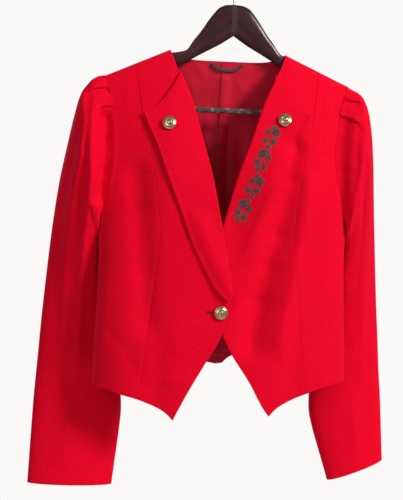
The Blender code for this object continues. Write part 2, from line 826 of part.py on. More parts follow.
def lapel_rows(side, cells):
    """Rows down the roll line, each from the front's edge over the roll to the loose edge."""
    lift, lift_from, lift_over, lift_all = LAPEL_LIFT[side]
    stations = [LAPEL_FROM] + [d for d in DOWN if LAPEL_FROM < d < LAPEL_TO] + [LAPEL_TO]
    rows = []
    for station in stations:
        t = (station - LAPEL_FROM) / (LAPEL_TO - LAPEL_FROM)
        u0, z0 = front_edge(side, station)
        along = Vector((column(LAPEL[side], 1, z0) - u0, column(LAPEL[side], 2, z0) - z0))
        reach = along.length
        direction = along / reach
        roll = LAPEL_ROLL * (1.0 - LAPEL_ROLL_FALL * t)
        if side == "left":
            roll *= 1.0 - LAPEL_LEFT_ROLL_FALL * smooth((t - 0.5) / 0.2)
        row = []
        for turn, straight in LAPEL_TURNS:
            angle = math.radians(turn)
            d = -(SIT + straight + roll * math.sin(angle))
            off = LAPEL_START + roll * (1.0 - math.cos(angle))
            u = u0 + direction.x * d
            z = z0 + direction.y * d
            row.append(body_point(side, -1, u, z) + body_normal(side, -1, u, z) * off)
        lifted = lift * (1.0 - smooth((t - lift_from) / lift_over)) + lift_all
        settled = LAPEL_SETTLE[side] * min(reach / LAPEL_SETTLE_REACH, 1.0)
        for k in range(1, cells + 1):
            s = k / cells
            u = u0 + direction.x * reach * s
            z = z0 + direction.y * reach * s
            z -= LAPEL_TOP_DIP * (1.0 - t) ** 6 * 4.0 * s * (1.0 - s)
            wave = LAPEL_WAVE * math.sin(math.pi * s) * bump((t - LAPEL_WAVE_AT) / LAPEL_WAVE_SPAN)
            off = LAPEL_START + 2.0 * roll - settled * smooth(s * 1.4) + lifted * s * s + wave
            row.append(body_point(side, -1, u, z) + body_normal(side, -1, u, z) * off)
        rows.append(row)
    return rows


def lapel(side, look):
    """The turned-back lapel, rounded over the roll line and lying on the front."""
    rows = lapel_rows(side, LAPEL_CELLS)
    item = cloth("lapel_" + side, rows, WALL_LAPEL, look)
    across = len(rows[0]) - 1
    face_out(item, FRONTWARD, lambda index: index % across > len(LAPEL_TURNS))
    return item


def armhole_loop(side):
    """Front and back branches of the armhole as polylines with running arc length."""
    branches = {}
    tip_z = shoulder_z(TIP_U)
    for face, index in ((-1, 1), (1, 2)):
        points = []
        for k in range(ARMHOLE_STEPS + 1):
            z = tip_z + (UNDERARM_Z - tip_z) * (k / ARMHOLE_STEPS) ** ARMHOLE_CLOSER
            turn = turn_of(column(ARMHOLE, index, z), z) if k < ARMHOLE_STEPS else 0.0
            points.append(body_point_round(side, face, turn, z))
        points[0].y = 0.0
        arcs = [0.0]
        for start, end in zip(points, points[1:]):
            arcs.append(arcs[-1] + (end - start).length)
        branches[face] = (points, arcs)
    return branches


def on_branch(branch, share):
    """Point at a share of a branch's length."""
    points, arcs = branch
    at = min(1.0, max(0.0, share)) * arcs[-1]
    for k in range(len(arcs) - 1):
        if arcs[k + 1] >= at:
            span = arcs[k + 1] - arcs[k]
            return points[k].lerp(points[k + 1], (at - arcs[k]) / span)
    return points[-1].copy()


def ellipse_angle(long, short, sigma):
    """Angle round an ellipse at a share of its length, counted from the end of the long axis."""
    arcs = [0.0]
    for k in range(ELLIPSE_STEPS):
        a0 = math.pi * k / ELLIPSE_STEPS
        a1 = math.pi * (k + 1) / ELLIPSE_STEPS
        step = math.hypot(long * (math.cos(a1) - math.cos(a0)), short * (math.sin(a1) - math.sin(a0)))
        arcs.append(arcs[-1] + step)
    at = min(1.0, abs(sigma) * 2) * arcs[-1]
    k = 0
    while arcs[k + 1] < at and k < ELLIPSE_STEPS - 1:
        k += 1
    share = (at - arcs[k]) / (arcs[k + 1] - arcs[k])
    return math.copysign(math.pi * (k + share) / ELLIPSE_STEPS, sigma)


def sleeve_point(side, loop, ring, sigma):
    """Point of a ring and its middle, sigma from 0 at the outside to +0.5 or -0.5 underneath."""
    table = SLEEVE[side]
    indexed = [(k, *row) for k, row in enumerate(table)]
    ox, oz, ix, iz, mid, deep, leave = [column(indexed, c, ring) for c in range(1, 8)]
    outer = Vector((ox, 0.0, oz))
    inner = Vector((ix, 0.0, iz))
    centre = (outer + inner) / 2 + Vector((0, mid, 0))
    if abs(sigma) > 0.5:
        sigma -= math.copysign(1.0, sigma)
    angle = ellipse_angle((outer - inner).length / 2, deep, sigma)
    low = (1.0 - math.cos(angle)) / 2
    own = centre + (outer - inner) / 2 * math.cos(angle) + Vector((0, -deep * math.sin(angle), 0))
    below = bump((ring - UNDER_SWING_RING) / UNDER_SWING_SPAN)
    own.y += UNDER_SWING * below * low
    past = math.pi + angle if angle < 0 else 0.0
    tucked = smooth(past / UNDER_TUCK_FULL) * (1.0 - smooth((past - UNDER_TUCK_FROM) / UNDER_TUCK_FADE))
    own.x -= side_sign(side) * UNDER_TUCK * below * tucked
    if leave >= 1.0:
        return own, centre
    first_outer = Vector((table[0][0], 0.0, table[0][1]))
    first_inner = Vector((table[0][2], 0.0, table[0][3]))
    shift = (outer - first_outer) * (1 - low) + (inner - first_inner) * low
    clear = SLEEVE_CLEAR + SLEEVE_CLEAR_UNDER * smooth((abs(sigma) - 0.36) / 0.12)
    start = on_branch(loop[-1 if sigma >= 0 else 1], abs(sigma) * 2)
    start = start + shift + Vector((side_sign(side) * clear, 0, 0))
    return start.lerp(own, leave), centre


def sleeve_offset_point(side, loop, ring, sigma, height):
    """Point of a ring, raised outward by a height."""
    point, centre = sleeve_point(side, loop, ring, sigma)
    ahead, _ = sleeve_point(side, loop, ring, sigma + SLEEVE_NORMAL_STEP)
    behind, _ = sleeve_point(side, loop, ring, sigma - SLEEVE_NORMAL_STEP)
    along = (ahead - behind).normalized()
    out = point - centre
    out = (out - along * out.dot(along)).normalized()
    return point + out * height


def fold_height(ring, sigma):
    """Height of the sleeve's soft folds at a place on a ring."""
    total = 0.0
    for head, below, first, last, width, height in SLEEVE_FOLDS:
        if ring <= first or ring >= last:
            continue
        share = (ring - first) / (last - first)
        middle = head + (below - head) * share
        strength = smooth(min(share / 0.30, (1 - share) / 0.60))
        total += height * strength * bump((sigma - middle) / width)
    return total


def top_columns(length, turn):
    """Columns of the top sleeve, back seam to front seam: folded place, layers, cloth place."""
    half = []
    run = 0.0
    for k, (arc, up, loose) in enumerate(PLEAT_COLUMNS):
        if k:
            run += max(turn, abs(arc - PLEAT_COLUMNS[k - 1][0]))
        half.append((arc / length, up, loose, run))
    far_front = run + SEAM_FRONT_TOP * length - PLEAT_COLUMNS[-1][0]
    far_back = run + SEAM_BACK_TOP * length - PLEAT_COLUMNS[-1][0]
    ends_front = [(SEAM_FRONT_TOP - EDGE_STRIP / length, 0.0, 0.0, far_front - EDGE_STRIP)]
    ends_front.append((SEAM_FRONT_TOP, 0.0, 0.0, far_front))
    ends_back = [(-SEAM_BACK_TOP, 0.0, 0.0, -far_back)]
    ends_back.append((-SEAM_BACK_TOP + EDGE_STRIP / length, 0.0, 0.0, -far_back + EDGE_STRIP))
    back = [(-f, up, loose, -c) for f, up, loose, c in reversed(half[1:])]
    return ends_back + back + half + ends_front


def seam_gap(ring):
    """Half the gap between the two sleeve pieces, as a share of the ring."""
    return (SEAM_GAP + SEAM_GAP_ELBOW * bump((ring - SEAM_GAP_RING) / SEAM_GAP_SPAN)) / RING_LENGTH


def sleeve_seams(ring):
    """Places of the front seam and the back seam on a ring, from the outside."""
    share = smooth(ring / SEAM_RINGS)
    front = SEAM_FRONT_TOP + (SEAM_FRONT_LOW - SEAM_FRONT_TOP) * share
    back = SEAM_BACK_TOP + (SEAM_BACK_LOW - SEAM_BACK_TOP) * share
    return front, back


def top_sleeve(side, look):
    """The outer sleeve piece, its head folded into the armhole in pleats."""
    loop = armhole_loop(side)
    length = loop[-1][1][-1] + loop[1][1][-1]
    rows = []
    for ring, station in enumerate(SLEEVE[side]):
        folded = station[7]
        front, back = sleeve_seams(ring)
        front -= seam_gap(ring)
        back -= seam_gap(ring)
        columns = top_columns(length, TURN_TIGHT + TURN_LOOSE * smooth((0.5 - folded) / 0.25))
        rise = min(1.0, folded / 0.5)
        opened = smooth((1 - folded) / 0.5)
        layer = PLEAT_LAYER_SEAM + (PLEAT_LAYER - PLEAT_LAYER_SEAM) * smooth(ring / LAYER_RINGS)
        sunk = HEAD_SINK * (1.0 - smooth(ring / HEAD_RINGS))
        puffed = HEAD_PUFF if ring < 6 else 0.0
        row = []
        for place, up, loose, run in columns:
            edge, seam = (columns[-1], front) if run >= 0 else (columns[0], -back)
            sigma = (folded * place / edge[0] + (1 - folded) * run / edge[3]) * seam
            height = (up + (loose - up) * opened) * layer * rise + fold_height(ring, sigma)
            height += puffed * bump(sigma / 0.06) - sunk * bump(sigma / 0.12)
            row.append(sleeve_offset_point(side, loop, ring, sigma, height))
        rows.append(row)
    item = cloth("top_sleeve_" + side, rows, WALL_SLEEVE, look, offset=0.0, even=False)
    face_out(item, Vector((side_sign(side), 0, 0)))
    return item


def under_sleeve(side, look):
    """The inner sleeve piece, from the front seam round underneath to the back seam."""
    loop = armhole_loop(side)
    rows = []
    for ring in range(len(SLEEVE[side])):
        front, back = sleeve_seams(ring)
        front += seam_gap(ring)
        width = 1.0 - back - seam_gap(ring) - front
        inner = [UNDER_STRIP + (width - 2 * UNDER_STRIP) * k / UNDER_CELLS for k in range(UNDER_CELLS + 1)]
        row = []
        for away in [0.0] + inner + [width]:
            sigma = front + away
            if sigma > 0.5:
                sigma -= 1.0
            row.append(sleeve_offset_point(side, loop, ring, sigma, fold_height(ring, sigma)))
        rows.append(row)
    item = cloth("under_sleeve_" + side, rows, WALL_SLEEVE, look, offset=0.0, even=False)
    face_out(item, Vector((-side_sign(side), 0, -UNDER_DOWNWARD)))
    return item


def button(name, place, normal, look, shank=0.0):
    """A domed metal button turned from its profile, with a flat back and perhaps a shank."""
    profile = [(BUTTON_R * out, BUTTON_H * high) for out, high in BUTTON_PROFILE]
    if shank:
        profile += [(SHANK_R, 0.0), (SHANK_R, -shank)]
    profile.append((0.0, -shank))
    mesh = bpy.data.meshes.new(name)
    bm = bmesh.new()
    verts = [bm.verts.new((x, 0.0, z)) for x, z in profile]
    for start, end in zip(verts, verts[1:]):
        bm.edges.new((start, end))
    bm.to_mesh(mesh)
    bm.free()
    item = bpy.data.objects.new(name, mesh)
    COLLECTION.objects.link(item)
    mesh.materials.append(look)
    turned = item.modifiers.new("turned", "SCREW")
    turned.steps = BUTTON_STEPS
    turned.render_steps = BUTTON_STEPS
    turned.use_merge_vertices = True
    turned.merge_threshold = 0.00005
    turned.use_smooth_shade = True
    item.matrix_world = Matrix.Translation(place) @ normal.to_track_quat("Z", "Y").to_matrix().to_4x4()
    return item


def surface_at(rows, x, z):
    """Point and outward normal of a cloth grid nearest to the given x and z."""
    best = None
    for upper, lower in zip(rows, rows[1:]):
        for a, b, c, d in zip(upper, upper[1:], lower, lower[1:]):
            middle = (a + b + c + d) / 4
            away = (middle.x - x) ** 2 + (middle.z - z) ** 2
            if best is None or away < best[0]:
                best = (away, middle, (b - a + d - c).cross(c - a + d - b).normalized())
    _, middle, normal = best
    if normal.y > 0:
        normal = -normal
    y = middle.y - (normal.x * (x - middle.x) + normal.z * (z - middle.z)) / normal.y
    return Vector((x, y, z)), normal


def buttonhole(front):
    """A slit with a round eye for the shank, cut through the right front."""
    x = JACKET_X - BUTTON_FRONT_U
    bm = bmesh.new()
    bmesh.ops.create_cube(bm, size=1.0)
    bmesh.ops.scale(bm, verts=bm.verts, vec=(BUTTONHOLE_L, CUTTER_DEPTH, BUTTONHOLE_W))
    middle = (x - BUTTONHOLE_L / 2 + BUTTONHOLE_PAST, BUTTONHOLE_Y, BUTTON_FRONT_Z)
    bmesh.ops.translate(bm, verts=bm.verts, vec=middle)
    slit = bpy.data.meshes.new("buttonhole_slit")
    bm.to_mesh(slit)
    bm.free()
    bm = bmesh.new()
    bmesh.ops.create_cone(
        bm, cap_ends=True, segments=12, radius1=BUTTONHOLE_EYE_R, radius2=BUTTONHOLE_EYE_R, depth=CUTTER_DEPTH
    )
    bmesh.ops.rotate(bm, verts=bm.verts, cent=(0, 0, 0), matrix=Matrix.Rotation(math.pi / 2, 3, "X"))
    bmesh.ops.translate(bm, verts=bm.verts, vec=(x, BUTTONHOLE_Y, BUTTON_FRONT_Z))
    eye = bpy.data.meshes.new("buttonhole_eye")
    bm.to_mesh(eye)
    bm.free()
    for mesh in (slit, eye):
        cutter = bpy.data.objects.new(mesh.name, mesh)
        cutter.hide_render = True
        cutter.display_type = "WIRE"
        CUTTERS.objects.link(cutter)
        cut = front.modifiers.new(mesh.name, "BOOLEAN")
        cut.operation = "DIFFERENCE"
        cut.solver = "EXACT"
        cut.object = cutter


def hanging_loop(look):
    """Tape sewn inside the back neck at both ends, sagging between them."""
    rows = []
    for k in range(LOOP_STATIONS + 1):
        t = k / LOOP_STATIONS
        x = LOOP_LEFT_X + (LOOP_RIGHT_X - LOOP_LEFT_X) * t
        z = LOOP_Z - LOOP_SAG * math.sin(math.pi * t) ** 0.8 * (0.75 + 0.5 * t)
        side = "left" if x > JACKET_X else "right"
        inner = WALL_BODY + SIT + WALL_LINING + LOOP_OFF + LOOP_BELLY * math.sin(math.pi * t)
        y = body_point(side, 1, abs(x - JACKET_X), z).y - inner
        rows.append([Vector((x, y, z + LOOP_W / 2)), Vector((x, y - LOOP_TWIST, z - LOOP_W / 2))])
    item = cloth("hanging_loop", rows, LOOP_WALL, look)
    face_out(item, BACKWARD)
    return item


def arm_top(side, x):
    """Top of a hanger arm under the shoulder of the cloth."""
    return shoulder_z(x - side_sign(side) * JACKET_X) - ARM_UNDER_CLOTH


def hanger_arm(side, look):
    """One bent wood half, from the middle joint to the lobe that holds the bar."""
    sign = side_sign(side)
    stations = list(HANGER_ARM)
    for x in ARM_MIDDLE_X:
        top = arm_top(side, x)
        stations.append((x, top, top - ARM_TALL, ARM_HALF_T))
    for x, drop, low, half in HANGER_LOBE:
        stations.append((x, arm_top(side, x) - drop, low, half))
    bm = bmesh.new()
    loops = []
    for x, top, low, half in stations:
        ring = []
        for k in range(ARM_AROUND):
            angle = 2 * math.pi * (k + 0.5) / ARM_AROUND
            c, s = math.cos(angle), math.sin(angle)
            y = half * math.copysign(abs(c) ** ARM_SQUARENESS, c)
            z = (top + low) / 2 + (top - low) / 2 * math.copysign(abs(s) ** ARM_SQUARENESS, s)
            ring.append(bm.verts.new((sign * x, y, z)))
        loops.append(ring)
    for start, end in zip(loops, loops[1:]):
        for k in range(ARM_AROUND):
            n = (k + 1) % ARM_AROUND
            bm.faces.new((start[k], start[n], end[n], end[k]))
    bm.faces.new(loops[0])
    bm.faces.new(loops[-1])
    bmesh.ops.recalc_face_normals(bm, faces=bm.faces)
    mesh = bpy.data.meshes.new("hanger_arm_" + side)
    bm.to_mesh(mesh)
    bm.free()
    mesh.shade_smooth()
    mesh.set_sharp_from_angle(angle=math.radians(50))
    item = bpy.data.objects.new("hanger_arm_" + side, mesh)
    mesh.materials.append(look)
    COLLECTION.objects.link(item)
    return item


def hanger_bar(look):
    """A round bar whose ends sit in the lobes of the arms."""
    bm = bmesh.new()
    length = 2 * (LOBE_X + BAR_SEAT)
    bmesh.ops.create_cone(
        bm, cap_ends=True, segments=BAR_AROUND, radius1=BAR_R, radius2=BAR_R, depth=length
    )
    bmesh.ops.rotate(bm, verts=bm.verts, cent=(0, 0, 0), matrix=Matrix.Rotation(math.pi / 2, 3, "Y"))
    mesh = bpy.data.meshes.new("hanger_bar")
    bm.to_mesh(mesh)
    bm.free()
    mesh.materials.append(look)
    item = bpy.data.objects.new("hanger_bar", mesh)
    item.location = (0, 0, BAR_Z)
    COLLECTION.objects.link(item)
    return item


def hanger_hook(look):
    """Round wire: a short neck, then most of a circle open at the lower left."""
    radius = HOOK_R + WIRE_R
    points = [(0.0, HANGER_ARM[0][1] + SIT)] + list(HOOK_NECK)
    for k in range(HOOK_STEPS + 1):
        angle = math.radians(HOOK_FROM + (HOOK_TO - HOOK_FROM) * k / HOOK_STEPS)
        points.append((radius * math.cos(angle), -HOOK_R + radius * math.sin(angle)))
    curve = bpy.data.curves.new("hanger_hook", "CURVE")
    curve.dimensions = "3D"
    spline = curve.splines.new("POLY")
    spline.points.add(len(points) - 1)
    for place, (x, z) in zip(spline.points, points):
        place.co = (x, 0.0, z, 1.0)
    curve.bevel_depth = WIRE_R
    curve.bevel_resolution = 2
    curve.use_fill_caps = True
    curve.materials.append(look)
    item = bpy.data.objects.new("hanger_hook", curve)
    COLLECTION.objects.link(item)
    return item


def build():
    clear_scene()
    wool = material("red_wool", (0.62, 0.004, 0.016), 0.85)
    satin = material("crimson_satin", (0.32, 0.006, 0.030), 0.40)
    brass = material("brass", (0.52, 0.34, 0.16), 0.35, 1.0)
    wood = material("dark_wood", (0.035, 0.014, 0.012), 0.30)
    wire = material("steel_wire", (0.55, 0.55, 0.56), 0.25, 1.0)
    tape = material("black_tape", (0.02, 0.015, 0.018), 0.70)
    fronts = {}
    for side in ("right", "left"):
        fronts[side] = centre_front(side, wool)
        side_panel(side, -1, wool)
        centre_back(side, wool)
        side_panel(side, 1, wool)
        lapel(side, wool)
        top_sleeve(side, wool)
        under_sleeve(side, wool)
        lining(side, satin)
    buttonhole(fronts["right"])
    for name, side, u, z in BUTTONS:
        rows = [row[len(LAPEL_TURNS):] for row in lapel_rows(side, LAPEL_CELLS)]
        place, normal = surface_at(rows, JACKET_X + side_sign(side) * u, z)
        button(name, place + normal * BUTTON_LAPEL_SIT, normal, brass)
    base = body_point("right", -1, BUTTON_FRONT_U, BUTTON_FRONT_Z)
    normal = body_normal("right", -1, BUTTON_FRONT_U, BUTTON_FRONT_Z)
    button("button_front", base + normal * BUTTON_FRONT_SIT, normal, brass, shank=SHANK_L)
    hanging_loop(tape)
    hanger_arm("right", wood)
    hanger_arm("left", wood)
    hanger_bar(wood)
    hanger_hook(wire)


build()
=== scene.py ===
# Trachten jacket in fulled wool on a contoured wooden hanger.
# Metres, +Z up, the front faces -Y, +X is the wearer's left.
import bisect
import math
import random

import bmesh
import bpy
from mathutils import Matrix, Vector
from mathutils.bvhtree import BVHTree


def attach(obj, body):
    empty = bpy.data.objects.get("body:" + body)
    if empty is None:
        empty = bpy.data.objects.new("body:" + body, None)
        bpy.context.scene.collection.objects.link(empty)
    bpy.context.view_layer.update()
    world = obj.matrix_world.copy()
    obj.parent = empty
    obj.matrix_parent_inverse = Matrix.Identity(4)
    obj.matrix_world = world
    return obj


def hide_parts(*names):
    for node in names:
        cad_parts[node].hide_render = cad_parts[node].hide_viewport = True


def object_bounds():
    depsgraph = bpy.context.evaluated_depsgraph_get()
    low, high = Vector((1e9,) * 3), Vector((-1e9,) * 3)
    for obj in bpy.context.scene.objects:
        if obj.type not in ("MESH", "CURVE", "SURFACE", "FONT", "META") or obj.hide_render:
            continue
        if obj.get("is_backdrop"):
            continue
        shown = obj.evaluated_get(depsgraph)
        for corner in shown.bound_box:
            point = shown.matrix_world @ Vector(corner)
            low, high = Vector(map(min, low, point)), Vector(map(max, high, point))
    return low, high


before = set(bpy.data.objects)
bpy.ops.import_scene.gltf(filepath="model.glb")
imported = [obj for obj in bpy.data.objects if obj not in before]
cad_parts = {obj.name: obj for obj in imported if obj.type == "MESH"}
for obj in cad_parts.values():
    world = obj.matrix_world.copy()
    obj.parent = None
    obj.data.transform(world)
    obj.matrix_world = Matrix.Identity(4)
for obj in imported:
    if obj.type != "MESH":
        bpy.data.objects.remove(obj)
cad_low, cad_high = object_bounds()

# Camera, light and floor
# The jacket hangs at eye height before a pale room. A window stands to its upper right,
# and the room gives the rest of the light.
LOOK_AT = Vector((-0.0399, 0.0, -0.4397))
DISTANCE = 1.5
FOCAL = 72.0
YAW = math.radians(6.0)
ROLL = math.radians(1.5)
LIT = Vector((0.0, 0.0, -0.40))
FLOOR_Z = -1.02
FLOOR_R = 0.62

forward = Vector((math.sin(YAW), math.cos(YAW), 0.0))
level = Vector((math.cos(YAW), -math.sin(YAW), 0.0))
right = level * math.cos(ROLL) + Vector((0, 0, math.sin(ROLL)))
up = level * -math.sin(ROLL) + Vector((0, 0, math.cos(ROLL)))
lens = bpy.data.cameras.new("camera")
lens.lens = FOCAL
lens.sensor_width = 36.0


def put_in_scene(name, data):
    """A new object in the scene, which carries a mesh, a lamp or the camera."""
    item = bpy.data.objects.new(name, data)
    bpy.context.scene.collection.objects.link(item)
    return item


def mesh_of(name, bm):
    """The mesh of a finished bmesh, which is then let go."""
    mesh = bpy.data.meshes.new(name)
    bm.to_mesh(mesh)
    bm.free()
    return mesh


camera = put_in_scene("camera", lens)
turned = Matrix((right, up, -forward)).transposed().to_4x4()
camera.matrix_world = Matrix.Translation(LOOK_AT - forward * DISTANCE) @ turned
bpy.context.scene.camera = camera
bpy.context.scene.view_settings.view_transform = "Standard"
bpy.context.scene.view_settings.look = "None"


def soft_light(name, place, size, watts, colour):
    """A round soft lamp, turned to the middle of the jacket."""
    lamp = bpy.data.lights.new(name, "AREA")
    lamp.shape = "DISK"
    lamp.size = size
    lamp.energy = watts
    lamp.color = colour
    away = (Vector(place) - LIT).to_track_quat("Z", "Y").to_matrix().to_4x4()
    put_in_scene(name, lamp).matrix_world = Matrix.Translation(place) @ away


soft_light("window", (2.15, -2.05, 1.25), 0.9, 116.0, (1.0, 0.985, 0.96))
soft_light("room", (-1.5, -2.4, 0.1), 2.0, 17.0, (0.97, 0.98, 1.0))
soft_light("back_room", (-0.6, 2.2, 0.8), 1.8, 22.0, (1.0, 1.0, 1.0))

world = bpy.data.worlds.new("pale_room")
world.use_nodes = True
air = world.node_tree
glow = air.nodes["Background"]
glow.inputs["Color"].default_value = (0.93, 0.95, 1.0, 1.0)
glow.inputs["Strength"].default_value = 0.30
seen = air.nodes.new("ShaderNodeBackground")
seen.inputs["Color"].default_value = (0.955, 0.945, 0.935, 1.0)
seen.inputs["Strength"].default_value = 1.0
path = air.nodes.new("ShaderNodeLightPath")
both = air.nodes.new("ShaderNodeMixShader")
air.links.new(path.outputs["Is Camera Ray"], both.inputs["Fac"])
air.links.new(glow.outputs["Background"], both.inputs[1])
air.links.new(seen.outputs["Background"], both.inputs[2])
air.links.new(both.outputs["Shader"], air.nodes["World Output"].inputs["Surface"])
bpy.context.scene.world = world

bm = bmesh.new()
bmesh.ops.create_circle(bm, cap_ends=True, segments=96, radius=FLOOR_R)
bmesh.ops.translate(bm, verts=bm.verts, vec=(0, 0, FLOOR_Z))
floor = put_in_scene("floor", mesh_of("floor", bm))
floor_look = bpy.data.materials.new("pale_floor")
floor_look.use_nodes = True
paint = floor_look.node_tree.nodes["Principled BSDF"]
paint.inputs["Base Color"].default_value = (0.80, 0.79, 0.77, 1.0)
paint.inputs["Roughness"].default_value = 0.8
floor.data.materials.append(floor_look)
floor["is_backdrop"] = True


# Fronts
# Each front is a centre piece and a side piece of bright red fulled wool, joined from shoulder
# to hem over the bust, with their edges turned in and pressed. The centre pieces end in
# points, and the right one laps over the left and has a buttonhole.

# The body's form, which the backs and the lining share: the jacket hangs flat on the hanger's
# arms, both shoulders fall at 24 degrees, and the sides round away from front and back.
SIDES = ("right", "left")
FRONT = -1
BACK = 1
OUT = {FRONT: Vector((0, -1, 0)), BACK: Vector((0, 1, 0))}
JACKET_X = -0.008
SEAM_HALF = 0.000005
NECK_U = 0.087
NECK_Z = -0.142
SHOULDER_SLOPE = 0.449
TIP_U = 0.182
UNDERARM_Z = -0.400
ROUNDNESS = 2.5
UNDERARM_T = 0.4714
NECK_DIP = 0.0112
NECK_DIP_POWER = 5.5
DOWN = (
    0.0, 0.0035, 0.014, 0.040, 0.085, 0.140, 0.205, 0.275, 0.345, 0.415, 0.4714,
    0.5470, 0.6224, 0.6844, 0.7570, 0.8380, 0.9190, 1.0,
)
BODY_LENGTH = 0.52
ROW_STEP = 0.0065
NORMAL_STEP = 0.0015
UPRIGHT = 0.0016
FOLDS_BELOW = 0.030
UNDERLAP = 0.0080
BODY_WIDTH = (
    # z, half width
    (-0.140, 0.236),
    (-0.200, 0.222),
    (-0.250, 0.207),
    (-0.300, 0.196),
    (-0.360, 0.189),
    (-0.400, 0.1862),
    (-0.450, 0.1850),
    (-0.520, 0.1865),
    (-0.600, 0.1895),
    (-0.700, 0.1910),
)
BODY_DEPTH = (
    # below shoulder, front, back
    (0.000, 0.0000, 0.0000),
    (0.0012, 0.0056, 0.0056),
    (0.004, 0.0096, 0.0096),
    (0.010, 0.0128, 0.0124),
    (0.022, 0.0172, 0.0160),
    (0.040, 0.0226, 0.0210),
    (0.070, 0.0305, 0.0290),
    (0.110, 0.0400, 0.0380),
    (0.160, 0.0500, 0.0470),
    (0.220, 0.0560, 0.0530),
    (0.300, 0.0570, 0.0550),
    (0.380, 0.0550, 0.0560),
    (0.560, 0.0560, 0.0580),
)
BODY_SWELLS = (
    # face, half width, span, z, span, depth
    (FRONT, 0.085, 0.045, -0.330, 0.070, 0.0055),
    (BACK, 0.000, 0.055, -0.430, 0.080, -0.0040),
)
BODY_FLUTES = (
    # face, half width, shift out on the left and in on the right, span, from z, full after, depth
    (FRONT, 0.150, 0.000, 0.018, -0.470, 0.120, 0.0030),
    (FRONT, 0.100, 0.004, 0.016, -0.500, 0.120, -0.0028),
    (BACK, 0.060, 0.000, 0.022, -0.420, 0.140, 0.0035),
    (BACK, 0.125, 0.000, 0.020, -0.420, 0.160, -0.0030),
)
SEAMS = (
    # z, front seam, back seam
    (-0.164, 0.138, 0.135),
    (-0.210, 0.132, 0.124),
    (-0.260, 0.124, 0.112),
    (-0.300, 0.114, 0.104),
    (-0.360, 0.104, 0.094),
    (-0.420, 0.098, 0.088),
    (-0.470, 0.102, 0.088),
    (-0.520, 0.108, 0.092),
    (-0.580, 0.114, 0.098),
    (-0.620, 0.119, 0.103),
    (-0.660, 0.123, 0.107),
)
ARMHOLE = (
    # z, front, back
    (-0.186, 0.1820, 0.1820),
    (-0.204, 0.1775, 0.1785),
    (-0.219, 0.1730, 0.1750),
    (-0.234, 0.1690, 0.1715),
    (-0.250, 0.1660, 0.1690),
    (-0.270, 0.1635, 0.1665),
    (-0.293, 0.1625, 0.1655),
    (-0.316, 0.1640, 0.1665),
    (-0.345, 0.1690, 0.1705),
    (-0.365, 0.1740, 0.1750),
    (-0.385, 0.1805, 0.1810),
    (-0.395, 0.1845, 0.1845),
    (-0.400, 0.1862, 0.1862),
)
HEM = (
    # half width, right front, left front, right back, left back
    (0.000, -0.690, -0.690, -0.6160, -0.6160),
    (0.010, -0.690, -0.690, -0.6142, -0.6146),
    (0.017, -0.690, -0.690, -0.6130, -0.6080),
    (0.027, -0.690, -0.690, -0.6125, -0.6028),
    (0.045, -0.690, -0.690, -0.6135, -0.6065),
    (0.067, -0.690, -0.680, -0.6150, -0.6140),
    (0.073, -0.687, -0.6735, -0.6155, -0.6145),
    (0.081, -0.679, -0.6665, -0.6165, -0.6150),
    (0.091, -0.672, -0.6610, -0.6180, -0.6160),
    (0.106, -0.665, -0.6540, -0.6205, -0.6175),
    (0.128, -0.657, -0.6455, -0.6250, -0.6200),
    (0.150, -0.651, -0.6370, -0.6300, -0.6230),
    (0.170, -0.644, -0.6300, -0.6350, -0.6250),
    (0.200, -0.638, -0.6270, -0.6380, -0.6270),
)
HEM_CORNER_U = 0.200
SEAM_HEM_Z = -0.655
# Main folds: the fronts swing forward over the bust and drag from the armholes
BODY_FOLDS = {
    # width, height, then x and z of the points along each
    FRONT: (
        (0.0170, -0.0085, (-0.1430, -0.3194), (-0.1367, -0.3915), (-0.1274, -0.4708), (-0.1194, -0.5574)),
        (0.0160, 0.0060, (-0.1948, -0.3709), (-0.1922, -0.5818)),
        (0.0150, 0.0050, (-0.0550, -0.3894), (-0.0270, -0.4566), (-0.0022, -0.5110)),
        (0.0070, -0.0022, (-0.1800, -0.558), (-0.1595, -0.579)),
        (0.0070, -0.0024, (-0.1595, -0.579), (-0.1415, -0.609)),
        (0.0070, -0.0020, (-0.1415, -0.609), (-0.1290, -0.6315)),
        (0.0080, 0.0026, (-0.0930, -0.632), (-0.0570, -0.629)),
        (0.0180, -0.0135, (0.0942, -0.2793), (0.0824, -0.3368), (0.0665, -0.4105)),
        (0.0175, -0.0135, (0.0665, -0.4105), (0.0531, -0.4634), (0.0413, -0.5177), (0.0298, -0.5865)),
        (0.0130, 0.0062, (0.1165, -0.3328), (0.1038, -0.4138), (0.0868, -0.5021), (0.0726, -0.5829)),
        (0.0055, 0.0012, (-0.1780, -0.2985), (-0.1880, -0.357), (-0.1930, -0.393)),
    ),
    BACK: (
        (0.0110, -0.0018, (-0.1080, -0.360), (-0.1020, -0.470)),
        (0.0110, -0.0018, (0.0860, -0.350), (0.0840, -0.480)),
        (0.0090, 0.0016, (-0.1500, -0.540), (-0.1320, -0.610)),
        (0.0100, 0.0018, (0.1350, -0.500), (0.1200, -0.600)),
    ),
}
